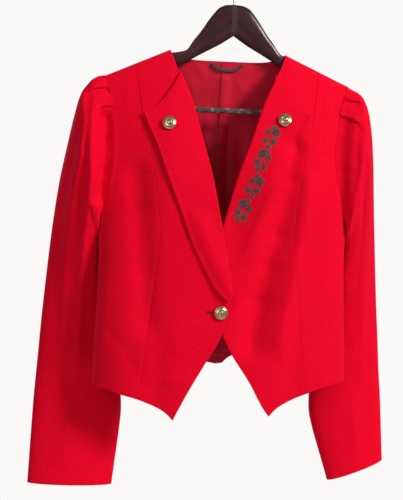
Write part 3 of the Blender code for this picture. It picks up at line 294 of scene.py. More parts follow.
# Smaller creases, like ones on the hidden side
BODY_CREASES = {
    FRONT: (
        (0.006, 0.0008, (-0.1760, -0.340), (-0.1560, -0.375)),
        (0.006, -0.0007, (-0.1720, -0.372), (-0.1500, -0.398)),
        (0.007, 0.0008, (-0.1660, -0.560), (-0.1500, -0.600)),
        (0.006, -0.0008, (-0.1250, -0.600), (-0.1180, -0.645)),
        (0.010, 0.0007, (-0.0900, -0.560), (-0.0650, -0.585)),
        (0.005, -0.0007, (-0.0980, -0.190), (-0.1040, -0.225)),
        (0.006, 0.0008, (-0.1550, -0.190), (-0.1600, -0.235)),
        (0.006, 0.0008, (0.1400, -0.200), (0.1460, -0.250)),
        (0.006, 0.0009, (0.1560, -0.345), (0.1380, -0.385)),
        (0.007, -0.0008, (0.1580, -0.380), (0.1350, -0.412)),
        (0.009, -0.0008, (0.0700, -0.540), (0.0450, -0.575)),
        (0.007, 0.0008, (0.1150, -0.585), (0.1050, -0.630)),
        (0.006, -0.0007, (0.1480, -0.560), (0.1440, -0.615)),
    ),
    BACK: (
        (0.007, 0.0010, (-0.1100, -0.190), (-0.0600, -0.205)),
        (0.007, 0.0010, (0.0900, -0.190), (0.0500, -0.202)),
        (0.008, 0.0011, (-0.1500, -0.350), (-0.1150, -0.385)),
        (0.008, 0.0011, (0.1350, -0.352), (0.1000, -0.392)),
        (0.009, 0.0010, (-0.0500, -0.420), (0.0150, -0.428)),
        (0.008, -0.0009, (-0.0400, -0.452), (0.0400, -0.446)),
        (0.008, 0.0009, (-0.0650, -0.540), (-0.0580, -0.600)),
        (0.009, -0.0009, (0.0500, -0.530), (0.0560, -0.600)),
    ),
}


def reader(table, index, key=0):
    """A smooth curve through one column of a table, read at any value of its key column."""
    rows = sorted(table, key=lambda row: row[key])
    xs = [row[key] for row in rows]
    ys = [row[index] for row in rows]
    steps = [(ys[k + 1] - ys[k]) / (xs[k + 1] - xs[k]) for k in range(len(xs) - 1)]
    slopes = [steps[0]]
    for before, after in zip(steps, steps[1:]):
        slopes.append(0.0 if before * after <= 0 else 2 * before * after / (before + after))
    slopes.append(steps[-1])

    def read(at):
        if at <= xs[0]:
            return ys[0]
        if at >= xs[-1]:
            return ys[-1]
        k = bisect.bisect_right(xs, at) - 1
        span = xs[k + 1] - xs[k]
        t = (at - xs[k]) / span
        held = (2 * t ** 3 - 3 * t ** 2 + 1) * ys[k] + (3 * t ** 2 - 2 * t ** 3) * ys[k + 1]
        lean = (t ** 3 - 2 * t ** 2 + t) * slopes[k] + (t ** 3 - t ** 2) * slopes[k + 1]
        return held + lean * span

    return read


def smooth(t):
    """0 below 0, 1 above 1, and a rise between them that starts and ends softly."""
    t = min(1.0, max(0.0, t))
    return t * t * (3 - 2 * t)


def bump(t):
    """A bell curve, 1 at 0 and falling away alike on both sides."""
    return math.exp(-t * t)


def crease(x, z, x0, z0, x1, z1, width):
    """Strength of a crease at a point: full along its line, soft beside it and at its ends."""
    dx, dz = x1 - x0, z1 - z0
    length = math.hypot(dx, dz)
    along = ((x - x0) * dx + (z - z0) * dz) / length ** 2
    across = ((x - x0) * dz - (z - z0) * dx) / length
    if abs(across) > 3 * width or not -0.3 < along < 1.3:
        return 0.0
    ends = smooth((along + 0.25) / 0.45) * smooth((1.25 - along) / 0.45)
    return ends * bump(across / width)


def crease_rows(lines):
    """Each straight stretch of some bent creases: its ends, width and height."""
    rows = []
    for width, height, *points in lines:
        rows += [(*start, *end, width, height) for start, end in zip(points, points[1:])]
    return rows


def steps_between(stations, length, step):
    """Stations with even smaller steps between them, none longer than step along length."""
    out = [stations[0]]
    for a, b in zip(stations, stations[1:]):
        count = max(1, math.ceil(abs(b - a) * length / step))
        out += [a + (b - a) * (k + 1) / count for k in range(count)]
    return out


half_width = reader(BODY_WIDTH, 1)
depth_of = {FRONT: reader(BODY_DEPTH, 1), BACK: reader(BODY_DEPTH, 2)}
seam_of = {FRONT: reader(SEAMS, 1), BACK: reader(SEAMS, 2)}
armhole_of = {FRONT: reader(ARMHOLE, 1), BACK: reader(ARMHOLE, 2)}
hem_of = {
    (FRONT, "right"): reader(HEM, 1),
    (FRONT, "left"): reader(HEM, 2),
    (BACK, "right"): reader(HEM, 3),
    (BACK, "left"): reader(HEM, 4),
}
body_creases = {face: crease_rows(BODY_FOLDS[face] + BODY_CREASES[face]) for face in (FRONT, BACK)}


def side_sign(side):
    """The sign of x on this side of the middle."""
    return -1.0 if side == "right" else 1.0


def shoulder_z(u):
    """Height of the shoulder's line."""
    return NECK_Z - SHOULDER_SLOPE * max(0.0, abs(u) - NECK_U)


def neck_back_z(u):
    """Height of the back neck's round line."""
    return NECK_Z - NECK_DIP * (1.0 - min(1.0, abs(u) / NECK_U) ** NECK_DIP_POWER)


def hem_z(side, face, u):
    """Height of the hem at a distance u from the middle, on one face and side."""
    return hem_of[(face, side)](max(0.0, u))


def body_depth(side, face, u, z):
    """Depth of the cloth's outer face where the section is full, with its folds."""
    below = max(0.0, shoulder_z(u) - z)
    depth = depth_of[face](below)
    sign = side_sign(side)
    for where, middle, span, level, rise, fullness in BODY_SWELLS:
        if where == face:
            depth += fullness * bump((abs(u) - middle) / span) * bump((z - level) / rise)
    for where, middle, shift, span, top, full, fullness in BODY_FLUTES:
        if where == face:
            depth += fullness * bump((u - middle - shift * sign) / span) * smooth((top - z) / full)
    x = JACKET_X + sign * u
    calm = smooth(below / FOLDS_BELOW)
    folds = sum(height * crease(x, z, *line) for *line, height in body_creases[face])
    return depth + calm * folds


def under_shift(side, u, z):
    """How far the left front lies behind the right one near the middle."""
    if side == "right":
        return 0.0
    near = smooth((0.080 - u) / 0.082)
    deep = UNDERLAP * smooth((-0.300 - z) / 0.095)
    low = 1.0 - 0.50 * smooth((-0.512 - z) / 0.045)
    return near * deep * low


def body_point(side, face, u, z):
    """Point of the cloth's outer face at a half width and a height."""
    width = half_width(z)
    ratio = min(1.0, abs(u) / width)
    full = (1.0 - ratio ** ROUNDNESS) ** (1.0 / ROUNDNESS)
    y = face * body_depth(side, face, u, z) * full
    if face < 0:
        y += under_shift(side, u, z)
    return Vector((JACKET_X + side_sign(side) * u, y, z))


def body_point_round(side, face, turn, z):
    """The same surface by the angle round the section: 0 at the side, rising to the middle."""
    u = half_width(z) * math.cos(turn) ** (2.0 / ROUNDNESS)
    y = face * body_depth(side, face, u, z) * math.sin(turn) ** (2.0 / ROUNDNESS)
    if face < 0:
        y += under_shift(side, u, z)
    return Vector((JACKET_X + side_sign(side) * u, y, z))


def turn_of(u, z):
    """The angle round the section of a half width."""
    ratio = min(1.0, abs(u) / half_width(z))
    return math.acos(ratio ** (ROUNDNESS / 2.0))


def body_normal(side, face, u, z):
    """Outward direction of the cloth's outer face."""
    across = body_point(side, face, u + NORMAL_STEP, z) - body_point(side, face, u - NORMAL_STEP, z)
    down = body_point(side, face, u, z - NORMAL_STEP) - body_point(side, face, u, z + NORMAL_STEP)
    normal = across.cross(down).normalized()
    return -normal if normal.y * face < 0 else normal


def near_top(t):
    """How far a row follows the shoulder's line: wholly at the top, not at all from a fifth down."""
    return (1.0 - t) ** 2 * (1.0 - smooth((t - 0.10) / 0.10))


def near_hem(t):
    """How far a row follows the hem's line, from seven tenths down."""
    return smooth((t - 0.70) / 0.30)


def level_top(rows, face):
    """A level first strip, so that the edge stands upright at the shoulder seam."""
    first = []
    second = []
    for point, below in zip(rows[0], rows[1]):
        if abs(point.y) < 0.002:
            first.append(Vector((point.x, face * SEAM_HALF, point.z)))
            second.append(Vector((point.x, face * UPRIGHT, point.z)))
        else:
            first.append(point)
            second.append(point.lerp(below, 0.3))
    return [first, second] + rows[1:]


BODY_DOWN = steps_between(DOWN, BODY_LENGTH, ROW_STEP)

# The edge of each front, from the neck down to its point
FRONT_EDGE = {
    "right": (
        # z, half width
        (-0.142, 0.0870),
        (-0.159, 0.0808),
        (-0.173, 0.0762),
        (-0.180, 0.0730),
        (-0.188, 0.0714),
        (-0.203, 0.0643),
        (-0.218, 0.0589),
        (-0.234, 0.0540),
        (-0.258, 0.0474),
        (-0.280, 0.0420),
        (-0.330, 0.0280),
        (-0.381, 0.0172),
        (-0.439, 0.0056),
        (-0.480, -0.0014),
        (-0.515, -0.0066),
        (-0.528, -0.0060),
        (-0.545, -0.0025),
        (-0.570, 0.0080),
        (-0.601, 0.0260),
        (-0.637, 0.0470),
        (-0.667, 0.0630),
        (-0.687, 0.0730),
    ),
    "left": (
        (-0.142, 0.0870),
        (-0.159, 0.0815),
        (-0.173, 0.0750),
        (-0.180, 0.0722),
        (-0.188, 0.0706),
        (-0.203, 0.0642),
        (-0.218, 0.0574),
        (-0.234, 0.0510),
        (-0.258, 0.0430),
        (-0.280, 0.0355),
        (-0.330, 0.0172),
        (-0.381, 0.0030),
        (-0.439, -0.0125),
        (-0.480, -0.0195),
        (-0.510, -0.0230),
        (-0.535, -0.0170),
        (-0.563, -0.0030),
        (-0.591, 0.0110),
        (-0.632, 0.0380),
        (-0.654, 0.0500),
        (-0.668, 0.0580),
        (-0.680, 0.0670),
    ),
}
WALL_BODY = 0.0016
BUTTON_FRONT_U = 0.0070
BUTTON_FRONT_Z = -0.530
BUTTONHOLE_L = 0.0235
BUTTONHOLE_PAST = 0.0035
FRONT_CELLS = 30
SIDE_CELLS = 24
SIDE_UPRIGHT = 0.0014
UNDERARM_OPEN = 0.0001
front_edge = {side: reader(FRONT_EDGE[side], 1) for side in SIDES}


def noise(tree, place, scale, detail, roughness=0.55, distortion=0.0):
    """Noise read at a place, from 0 to 1."""
    made = tree.nodes.new("ShaderNodeTexNoise")
    made.inputs["Scale"].default_value = scale
    made.inputs["Detail"].default_value = detail
    made.inputs["Roughness"].default_value = roughness
    made.inputs["Distortion"].default_value = distortion
    tree.links.new(place, made.inputs["Vector"])
    return made.outputs["Fac"]


def ramp(tree, value, stops):
    """Colours at places along a value from 0 to 1."""
    made = tree.nodes.new("ShaderNodeValToRGB")
    while len(made.color_ramp.elements) < len(stops):
        made.color_ramp.elements.new(0.5)
    for element, (place, colour) in zip(made.color_ramp.elements, stops):
        element.position = place
        element.color = (*colour, 1.0)
    tree.links.new(value, made.inputs["Fac"])
    return made.outputs["Color"]


def shade(tree, value, start, dark, end, light=1.0):
    """Greys from dark to light between two places along a value."""
    return ramp(tree, value, ((start, (dark,) * 3), (end, (light,) * 3)))


def blend_colours(tree, share, first, second, mode="MIX"):
    """The first colour taken toward the second, or combined with it, by a share."""
    made = tree.nodes.new("ShaderNodeMix")
    made.data_type = "RGBA"
    made.blend_type = mode
    for name, value in (("Factor", share), ("A", first), ("B", second)):
        socket = made.inputs[name]
        if isinstance(value, bpy.types.NodeSocket):
            tree.links.new(value, socket)
        else:
            socket.default_value = value if isinstance(value, float) else (*value, 1.0)
    return made.outputs["Result"]


def raise_surface(tree, shader, heights):
    """Bump from several heights, each with its strength and depth in metres, one on the other."""
    below = None
    for height, strength, depth in heights:
        made = tree.nodes.new("ShaderNodeBump")
        made.inputs["Strength"].default_value = strength
        made.inputs["Distance"].default_value = depth
        tree.links.new(height, made.inputs["Height"])
        if below is not None:
            tree.links.new(below, made.inputs["Normal"])
        below = made.outputs["Normal"]
    tree.links.new(below, shader.inputs["Normal"])


def new_look(name, levels):
    """A finish with the shader's levels that are the same all over."""
    made = bpy.data.materials.new(name)
    made.use_nodes = True
    shader = made.node_tree.nodes["Principled BSDF"]
    for socket, level in levels.items():
        shader.inputs[socket].default_value = level
    return made, made.node_tree, shader


def place_on(tree, scale=(1.0, 1.0, 1.0), source="Object", turn=(0.0, 0.0, 0.0)):
    """Coordinates of a piece, stretched and turned for a pattern."""
    coordinates = tree.nodes.new("ShaderNodeTexCoord")
    mapping = tree.nodes.new("ShaderNodeMapping")
    mapping.inputs["Scale"].default_value = scale
    mapping.inputs["Rotation"].default_value = turn
    tree.links.new(coordinates.outputs[source], mapping.inputs["Vector"])
    return mapping.outputs["Vector"]


def wool_look():
    """Red wool: felted fibres over a hardly visible weave, patchy nap and a pink sheen."""
    made, tree, shader = new_look("red_wool", {
        "Roughness": 0.86,
        "Specular IOR Level": 0.06,
        "Sheen Weight": 0.34,
        "Sheen Roughness": 0.42,
        "Sheen Tint": (1.0, 0.06, 0.20, 1.0),
    })
    whole = place_on(tree)
    fibres = noise(tree, place_on(tree, (1.0, 1.0, 0.45)), 780.0, 3.0, 0.7, 0.4)
    nap = noise(tree, whole, 150.0, 3.0, 0.6)
    patches = noise(tree, whole, 16.0, 2.0)
    woven = tree.nodes.new("ShaderNodeTexWave")
    woven.inputs["Scale"].default_value = 95.0
    woven.inputs["Distortion"].default_value = 3.0
    woven.inputs["Detail"].default_value = 2.0
    woven.inputs["Detail Scale"].default_value = 2.0
    tree.links.new(place_on(tree, source="UV", turn=(0.0, 0.0, 0.85)), woven.inputs["Vector"])
    reds = (
        (0.30, (0.66, 0.0002, 0.0130)),
        (0.52, (0.77, 0.0003, 0.0170)),
        (0.75, (0.86, 0.0009, 0.0250)),
    )
    colour = ramp(tree, fibres, reds)
    colour = blend_colours(tree, 0.8, colour, shade(tree, nap, 0.30, 0.90, 0.70), "MULTIPLY")
    colour = blend_colours(tree, 1.0, colour, shade(tree, patches, 0.30, 0.95, 0.70), "MULTIPLY")
    tree.links.new(colour, shader.inputs["Base Color"])
    raise_surface(tree, shader, (
        (nap, 0.35, 0.0006),
        (woven.outputs["Fac"], 0.10, 0.0003),
        (fibres, 0.55, 0.0004),
    ))
    return made


def satin_look():
    """Crimson satin: a smooth warp face with fine lines and a soft gloss."""
    made, tree, shader = new_look("crimson_satin", {"Roughness": 0.44, "Specular IOR Level": 0.22})
    threads = noise(tree, place_on(tree, (900.0, 60.0, 1.0), "UV"), 1.0, 2.0)
    soft = noise(tree, place_on(tree), 28.0, 2.0)
    lines = ramp(tree, threads, ((0.25, (0.52, 0.0035, 0.022)), (0.75, (0.68, 0.0060, 0.034))))
    tone = shade(tree, soft, 0.30, 0.86, 0.70)
    tree.links.new(blend_colours(tree, 1.0, lines, tone, "MULTIPLY"), shader.inputs["Base Color"])
    raise_surface(tree, shader, ((soft, 0.18, 0.0012), (threads, 0.14, 0.0001)))
    return made


WOOL = wool_look()
SATIN = satin_look()


def settle(item):
    """Work the piece's modifiers into its mesh."""
    finished = bpy.data.meshes.new_from_object(item.evaluated_get(bpy.context.evaluated_depsgraph_get()))
    item.modifiers.clear()
    item.data = finished


def make_cloth(node, rows, wall, outward, offset=-1.0, even=True, looks=(WOOL, SATIN), rounding=0.00042,
               cutters=(), judged=0):
    """A wall of cloth through rows of points, its edges rounded, in place of the node's solid.

    The columns from judged on settle which way is outward. The looks are its outer and inner face.
    """
    bm = bmesh.new()
    grid = [[bm.verts.new(point) for point in row] for row in rows]
    uv = bm.loops.layers.uv.new("cloth")
    middle = len(rows[0]) // 2
    across = []
    for row in rows:
        run = [0.0]
        for a, b in zip(row, row[1:]):
            run.append(run[-1] + (b - a).length)
        across.append([value - run[middle] for value in run])
    along = [0.0]
    for a, b in zip(rows, rows[1:]):
        along.append(along[-1] + (b[middle] - a[middle]).length)
    total = 0.0
    for i in range(len(rows) - 1):
        for j in range(len(rows[0]) - 1):
            corners = ((i, j), (i + 1, j), (i + 1, j + 1), (i, j + 1))
            face = bm.faces.new([grid[r][c] for r, c in corners])
            face.smooth = True
            for loop, (r, c) in zip(face.loops, corners):
                loop[uv].uv = (across[r][c], along[r])
            face.normal_update()
            if j >= judged:
                total += face.normal.dot(outward) * face.calc_area()
    if total < 0:
        bmesh.ops.reverse_faces(bm, faces=bm.faces)
    item = put_in_scene("cloth_" + node, mesh_of(node, bm))
    for look in looks:
        item.data.materials.append(look)
    solid = item.modifiers.new("wall", "SOLIDIFY")
    solid.thickness = wall
    solid.offset = offset
    solid.use_even_offset = even
    solid.material_offset = 1
    solid.material_offset_rim = 0
    edge = item.modifiers.new("edge", "BEVEL")
    edge.width = rounding
    edge.segments = 2
    edge.limit_method = "ANGLE"
    edge.angle_limit = math.radians(62)
    edge.use_clamp_overlap = True
    for cutter in cutters:
        cut = item.modifiers.new("cut", "BOOLEAN")
        cut.object = cutter
        cut.solver = "EXACT"
    settle(item)
    for cutter in cutters:
        bpy.data.objects.remove(cutter, do_unlink=True)
    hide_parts(node)
    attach(item, "root")
    return item


def centre_front_rows(side):
    """From the neck and the front edge to the shoulder-to-hem seam."""
    tip_z, tip_u = FRONT_EDGE[side][-1]
    seam_top = shoulder_z(SEAMS[0][1])
    seam_bottom = hem_z(side, FRONT, seam_of[FRONT](SEAM_HEM_Z))
    rows = []
    for t in BODY_DOWN:
        z_out = seam_top + (seam_bottom - seam_top) * t
        z_in = NECK_Z + (tip_z - NECK_Z) * t
        u_out = seam_of[FRONT](z_out) - SEAM_HALF
        u_in = front_edge[side](z_in)
        row = []
        for k in range(FRONT_CELLS + 1):
            s = k / FRONT_CELLS
            u = u_in + (u_out - u_in) * s
            z = z_in + (z_out - z_in) * s
            top_straight = NECK_Z + (seam_top - NECK_Z) * s
            bottom_straight = tip_z + (seam_bottom - tip_z) * s
            bottom_line = hem_z(side, FRONT, u) if u > tip_u else tip_z
            z += near_top(t) * (shoulder_z(u) - top_straight)
            z += near_hem(t) * (bottom_line - bottom_straight)
            row.append(body_point(side, FRONT, u, z))
        rows.append(row)
    return level_top(rows, FRONT)


def side_panel_rows(side, face):
    """Between the shoulder-to-hem seam and the armhole and side seam."""
    seam = seam_of[face]
    seam_top = shoulder_z(SEAMS[0][1 if face == FRONT else 2])
    seam_bottom = hem_z(side, face, seam(SEAM_HEM_Z))
    tip_z = shoulder_z(TIP_U)
    corner = 0.5 * (hem_z(side, FRONT, HEM_CORNER_U) + hem_z(side, BACK, HEM_CORNER_U))
    rows = []
    for t in BODY_DOWN:
        z_in = seam_top + (seam_bottom - seam_top) * t
        if t <= UNDERARM_T:
            z_out = tip_z + (UNDERARM_Z - tip_z) * t / UNDERARM_T
        else:
            z_out = UNDERARM_Z + (corner - UNDERARM_Z) * (t - UNDERARM_T) / (1 - UNDERARM_T)
        turn_in = turn_of(seam(z_in) + SEAM_HALF, z_in)
        if t < UNDERARM_T:
            turn_out = turn_of(armhole_of[face](z_out) - SEAM_HALF, z_out)
        else:
            full = body_depth(side, face, half_width(z_out), z_out)
            turn_out = math.asin((SEAM_HALF / full) ** (ROUNDNESS / 2.0))
        row = []
        for k in range(SIDE_CELLS + 1):
            s = k / SIDE_CELLS
            z = z_in + (z_out - z_in) * s
            turn = turn_in + (turn_out - turn_in) * s
            u_here = half_width(z) * math.cos(turn) ** (2.0 / ROUNDNESS)
            bottom_straight = seam_bottom + (corner - seam_bottom) * s
            z += near_hem(t) * (1 - s) * (hem_z(side, face, u_here) - bottom_straight)
            top_straight = seam_top + (tip_z - seam_top) * s
            z += near_top(t) * (shoulder_z(u_here) - top_straight)
            row.append(body_point_round(side, face, turn, z))
        if t >= UNDERARM_T:
            open_up = UNDERARM_OPEN * (1.0 - smooth((t - UNDERARM_T) / 0.05))
            row[-1].y = face * (SEAM_HALF + open_up)
            row.insert(-1, Vector((row[-1].x, face * (SIDE_UPRIGHT + open_up), row[-1].z)))
        else:
            row.insert(-1, row[-1].lerp(row[-2], 0.15))
        rows.append(row)
    return level_top(rows, face)


def buttonhole_cutter():
    """The slit that the button's shank passes, as a thin block to cut away."""
    x = JACKET_X - BUTTON_FRONT_U + BUTTONHOLE_PAST - BUTTONHOLE_L / 2
    bm = bmesh.new()
    bmesh.ops.create_cube(bm, size=1.0)
    bmesh.ops.scale(bm, verts=bm.verts, vec=(BUTTONHOLE_L, 0.030, 0.0009))
    bmesh.ops.translate(bm, verts=bm.verts, vec=(x, -0.055, BUTTON_FRONT_Z))
    return put_in_scene("slit", mesh_of("slit", bm))


fronts = {}
for side in SIDES:
    cutters = [buttonhole_cutter()] if side == "right" else []
    rows = centre_front_rows(side)
    fronts[side] = make_cloth("front_" + side, rows, WALL_BODY, OUT[FRONT], cutters=cutters)
    beside = make_cloth("side_front_" + side, side_panel_rows(side, FRONT), WALL_BODY, OUT[FRONT])


# Back
# Two centre pieces of the same wool meet in the centre-back seam, and a side piece lies
# outside each of them. The back ends level, a little above the fronts.
BACK_CELLS = 28
LINING_SEAM_GAP = 0.0006
LINING_EASE = 0.0013


def back_rows(side, shares, inset, first_u, top_drop, hem_up, lap=0.0):
    """Rows of the centre back at shares of its width, moved inward along the normal by inset."""
    seam_top = shoulder_z(SEAMS[0][2])
    seam_bottom = hem_z(side, BACK, seam_of[BACK](SEAM_HEM_Z))
    middle_top = neck_back_z(0.0)
    middle_bottom = hem_z(side, BACK, 0.0)
    gap = SEAM_HALF if not inset else LINING_SEAM_GAP
    rows = []
    for t in BODY_DOWN:
        z_out = seam_top + (seam_bottom - seam_top) * t
        z_in = middle_top + (middle_bottom - middle_top) * t
        u_out = seam_of[BACK](z_out) - gap
        row = []
        for s in shares:
            u = first_u + (u_out - first_u) * s
            z = z_in + (z_out - z_in) * s
            line = neck_back_z(u) if abs(u) < NECK_U else shoulder_z(u)
            straight = middle_top + (seam_top - middle_top) * s
            z += (1.0 - smooth(t / 0.30)) * (line - straight)
            low = middle_bottom + (seam_bottom - middle_bottom) * s
            z += near_hem(t) * (hem_z(side, BACK, u) - low)
            outer_drop = 1.0 + 4.0 * smooth((s - 0.35) / 0.35)
            z += hem_up * smooth((t - 0.5) / 0.5) - top_drop * outer_drop * (1 - smooth(t / 0.2))
            point = body_point(side, BACK, u, z)
            if inset:
                ease = LINING_EASE * (1.0 - smooth(t / 0.30)) * smooth((s - 0.30) / 0.30)
                step = lap * (1.0 - smooth((u - 0.0010) / 0.0090))
                loose = sum(height * crease(point.x, z, *line) for *line, height in lining_creases)
                point -= body_normal(side, BACK, u, z) * (inset + ease + step + loose)
            row.append(point)
        rows.append(row)
    return rows


for side in SIDES:
    shares = [k / BACK_CELLS for k in range(BACK_CELLS + 1)]
    rows = level_top(back_rows(side, shares, inset=0.0, first_u=SEAM_HALF, top_drop=0.0, hem_up=0.0), BACK)
    centre = make_cloth("back_" + side, rows, WALL_BODY, OUT[BACK])
    beside = make_cloth("side_back_" + side, side_panel_rows(side, BACK), WALL_BODY, OUT[BACK])


# Back lining
# Crimson satin inside the back, in two halves. The left half laps over the right one in a
# pleat down the middle, and the satin drags in soft creases from the neck.
WALL_LINING = 0.0010
SIT = 0.0003
PLEAT_LAP = 0.0070
PLEAT_SHARES = (0.0, 0.01, 0.02, 0.03, 0.045, 0.060, 0.075, 0.090, 0.105, 0.12, 0.14, 0.16)
LINING_CELLS = {"right": 30, "left": 28}
LINING_CREASES = (
    # width, height inward, then x and z of the points along each
    (0.0030, 0.0016, (-0.0540, -0.1600), (-0.0380, -0.1780)),
    (0.0026, -0.0002, (-0.0440, -0.1600), (-0.0300, -0.1860)),
    (0.0030, 0.0010, (-0.0270, -0.1750), (-0.0040, -0.1800)),
    (0.0030, 0.0014, (0.0080, -0.1800), (0.0230, -0.1960)),
    (0.0060, 0.0010, (0.0300, -0.1650), (0.0140, -0.2300)),
    (0.0080, 0.0012, (-0.0600, -0.1900), (-0.0480, -0.2600)),
    (0.0060, 0.0012, (-0.0350, -0.2300), (-0.0240, -0.3200)),
    (0.0070, 0.0010, (0.0050, -0.2500), (0.0120, -0.3500)),
    (0.0050, 0.0012, (-0.0250, -0.3300), (-0.0180, -0.4200)),
    (0.0080, 0.0012, (0.0350, -0.2600), (0.0420, -0.3600)),
    (0.0080, 0.0010, (-0.0700, -0.4300), (0.0500, -0.4450)),
    (0.0090, 0.0024, (-0.0124, -0.1700), (-0.0096, -0.2229), (-0.0142, -0.2848)),
    (0.0090, 0.0020, (-0.0142, -0.2848), (-0.0156, -0.3466)),
)
LINING_TOP_DROP = 0.0030
LINING_HEM_UP = 0.0120
LINING_CLEAR = SIT + 0.0001
lining_creases = crease_rows(LINING_CREASES)
linings = {}
for side in SIDES:
    if side == "right":
        shares = [k / LINING_CELLS[side] for k in range(LINING_CELLS[side] + 1)]
        first_u, lap = 0.0004, 0.0
    else:
        cells = LINING_CELLS[side]
        shares = list(PLEAT_SHARES) + [0.16 + 0.84 * (k + 1) / cells for k in range(cells)]
        first_u, lap = -PLEAT_LAP, WALL_LINING + LINING_CLEAR
    rows = back_rows(side, shares, WALL_BODY + LINING_CLEAR, first_u, LINING_TOP_DROP, LINING_HEM_UP, lap)
    item = make_cloth("lining_" + side, rows, WALL_LINING, OUT[BACK], looks=(SATIN, SATIN), rounding=0.0003)
    linings[side] = item


# Lapels
# Each lapel is the front's own cloth turned back over a rolled edge, with a seam allowance
# pressed in all round. It is tacked to the front by its button.
LAPEL = {
    "right": (
        # roll z, edge u, edge z
        (-0.181, 0.1230, -0.241),
        (-0.196, 0.1190, -0.2545),
        (-0.208, 0.1130, -0.268),
        (-0.234, 0.1040, -0.288),
        (-0.262, 0.0955, -0.312),
        (-0.290, 0.0878, -0.334),
        (-0.322, 0.0795, -0.356),
        (-0.356, 0.0695, -0.381),
        (-0.393, 0.0592, -0.4075),
        (-0.431, 0.0470, -0.4375),
        (-0.465, 0.0308, -0.4685),
        (-0.491, 0.0135, -0.4975),
        (-0.509, -0.0030, -0.5125),
    ),
    "left": (
        (-0.179, 0.1170, -0.240),
        (-0.191, 0.1110, -0.2500),
        (-0.207, 0.1050, -0.2610),
        (-0.234, 0.0960, -0.2780),
        (-0.262, 0.0850, -0.3020),
        (-0.290, 0.0730, -0.3290),
        (-0.322, 0.0590, -0.3550),
        (-0.356, 0.0470, -0.3820),
        (-0.395, 0.0370, -0.4080),
        (-0.431, 0.0260, -0.4370),
        (-0.465, 0.0060, -0.4680),
        (-0.488, -0.0080, -0.4900),
        (-0.504, -0.0160, -0.5050),
    ),
}
WALL_LAPEL = 0.0018
LAPEL_FROM = 0.0715
LAPEL_TO = 0.6740
LAPEL_ROLL = 0.0032
LAPEL_START = -0.0014
LAPEL_TOP_DIP = 0.0115
LAPEL_DENTS = {
    "right": (
        # x, z, radius, depth
        (-0.0560, -0.2500, 0.0070, 0.0005),
        (-0.0900, -0.2950, 0.0080, 0.0006),
        (-0.0480, -0.3300, 0.0080, 0.0005),
        (-0.0500, -0.3900, 0.0070, 0.0004),
    ),
    "left": (
        (0.0666, -0.3348, 0.0055, 0.0008),
        (0.0590, -0.3278, 0.0050, 0.0006),
        (0.0534, -0.2843, 0.0050, 0.0007),
        (0.0802, -0.2906, 0.0060, 0.0006),
    ),
}
LAPEL_LIFT = {
    # lift of the outer edge at the top, share of the length over which it settles
    "right": (0.0022, 0.75),
    "left": (0.0130, 0.85),
}
LAPEL_SETTLE = {"right": 0.0020, "left": 0.0010}
LAPEL_STRAIGHT = 0.0007
LAPEL_WAVE = 0.0016
LAPEL_REST = 0.0004
LAPEL_BEAD = 0.0026
LAPEL_TURNS = [(0.0, 0.0)] + [(turn, LAPEL_STRAIGHT) for turn in range(0, 181, 18)] + [(180, 0.0)]
LAPEL_SHARES = [k / 24 for k in range(1, 22)] + [0.895, 0.915, 0.935, 0.952, 0.966, 0.977, 0.986, 0.994, 1.0]
lapel_of = {side: (reader(LAPEL[side], 1), reader(LAPEL[side], 2)) for side in SIDES}


def lapel_rows(side):
    """Rows from the front's edge round the roll and out to the lapel's edge, top to bottom."""
    rows = []
    lift, settled = LAPEL_LIFT[side]
    tip_z = FRONT_EDGE[side][-1][0]
    inner = [t for t in BODY_DOWN if LAPEL_FROM + 0.004 < t < LAPEL_TO - 0.004]
    for station in [LAPEL_FROM] + inner + [LAPEL_TO]:
        t = (station - LAPEL_FROM) / (LAPEL_TO - LAPEL_FROM)
        z0 = NECK_Z + (tip_z - NECK_Z) * station
        u0 = front_edge[side](z0)
        along = Vector((lapel_of[side][0](z0) - u0, lapel_of[side][1](z0) - z0))
        reach = along.length
        direction = along / reach
        roll = LAPEL_ROLL * (1.0 - 0.20 * t)
        if side == "left":
            roll *= 1.0 - 0.08 * smooth((t - 0.5) / 0.2)
        row = []
        for turn, straight in LAPEL_TURNS:
            angle = math.radians(turn)
            d = -(SIT + straight + roll * math.sin(angle))
            u, z = u0 + direction.x * d, z0 + direction.y * d
            off = LAPEL_START + roll * (1.0 - math.cos(angle))
            row.append(body_point(side, FRONT, u, z) + body_normal(side, FRONT, u, z) * off)
        lift_edge = lift * (1.0 - smooth((t - 0.10) / settled)) + LAPEL_REST
        for s in LAPEL_SHARES:
            u = u0 + direction.x * reach * s
            z = z0 + direction.y * reach * s
            z -= LAPEL_TOP_DIP * (1.0 - t) ** 6 * 4.0 * s * (1.0 - s)
            wave = LAPEL_WAVE * math.sin(math.pi * s) * bump((t - 0.30) / 0.22)
            pressed = min(reach / 0.030, 1.0) * LAPEL_SETTLE[side] * smooth(s * 1.4)
            off = LAPEL_START + 2.0 * roll - pressed + lift_edge * s * s + wave
            from_edge = (1.0 - s) * reach
            off += 0.0004 * bump(from_edge / LAPEL_BEAD) - 0.0002 * bump((from_edge - 0.0060) / LAPEL_BEAD)
            x = JACKET_X + side_sign(side) * u
            for dent_x, dent_z, radius, depth in LAPEL_DENTS[side]:
                off -= depth * bump(math.hypot(x - dent_x, z - dent_z) / radius)
            row.append(body_point(side, FRONT, u, z) + body_normal(side, FRONT, u, z) * off)
        rows.append(row)
    return rows


lapel_grid = {}
lapels = {}
for side in SIDES:
    lapel_grid[side] = rows = lapel_rows(side)
    lapels[side] = make_cloth(
        "lapel_" + side, rows, WALL_LAPEL, OUT[FRONT], looks=(WOOL, WOOL), judged=len(LAPEL_TURNS),
    )


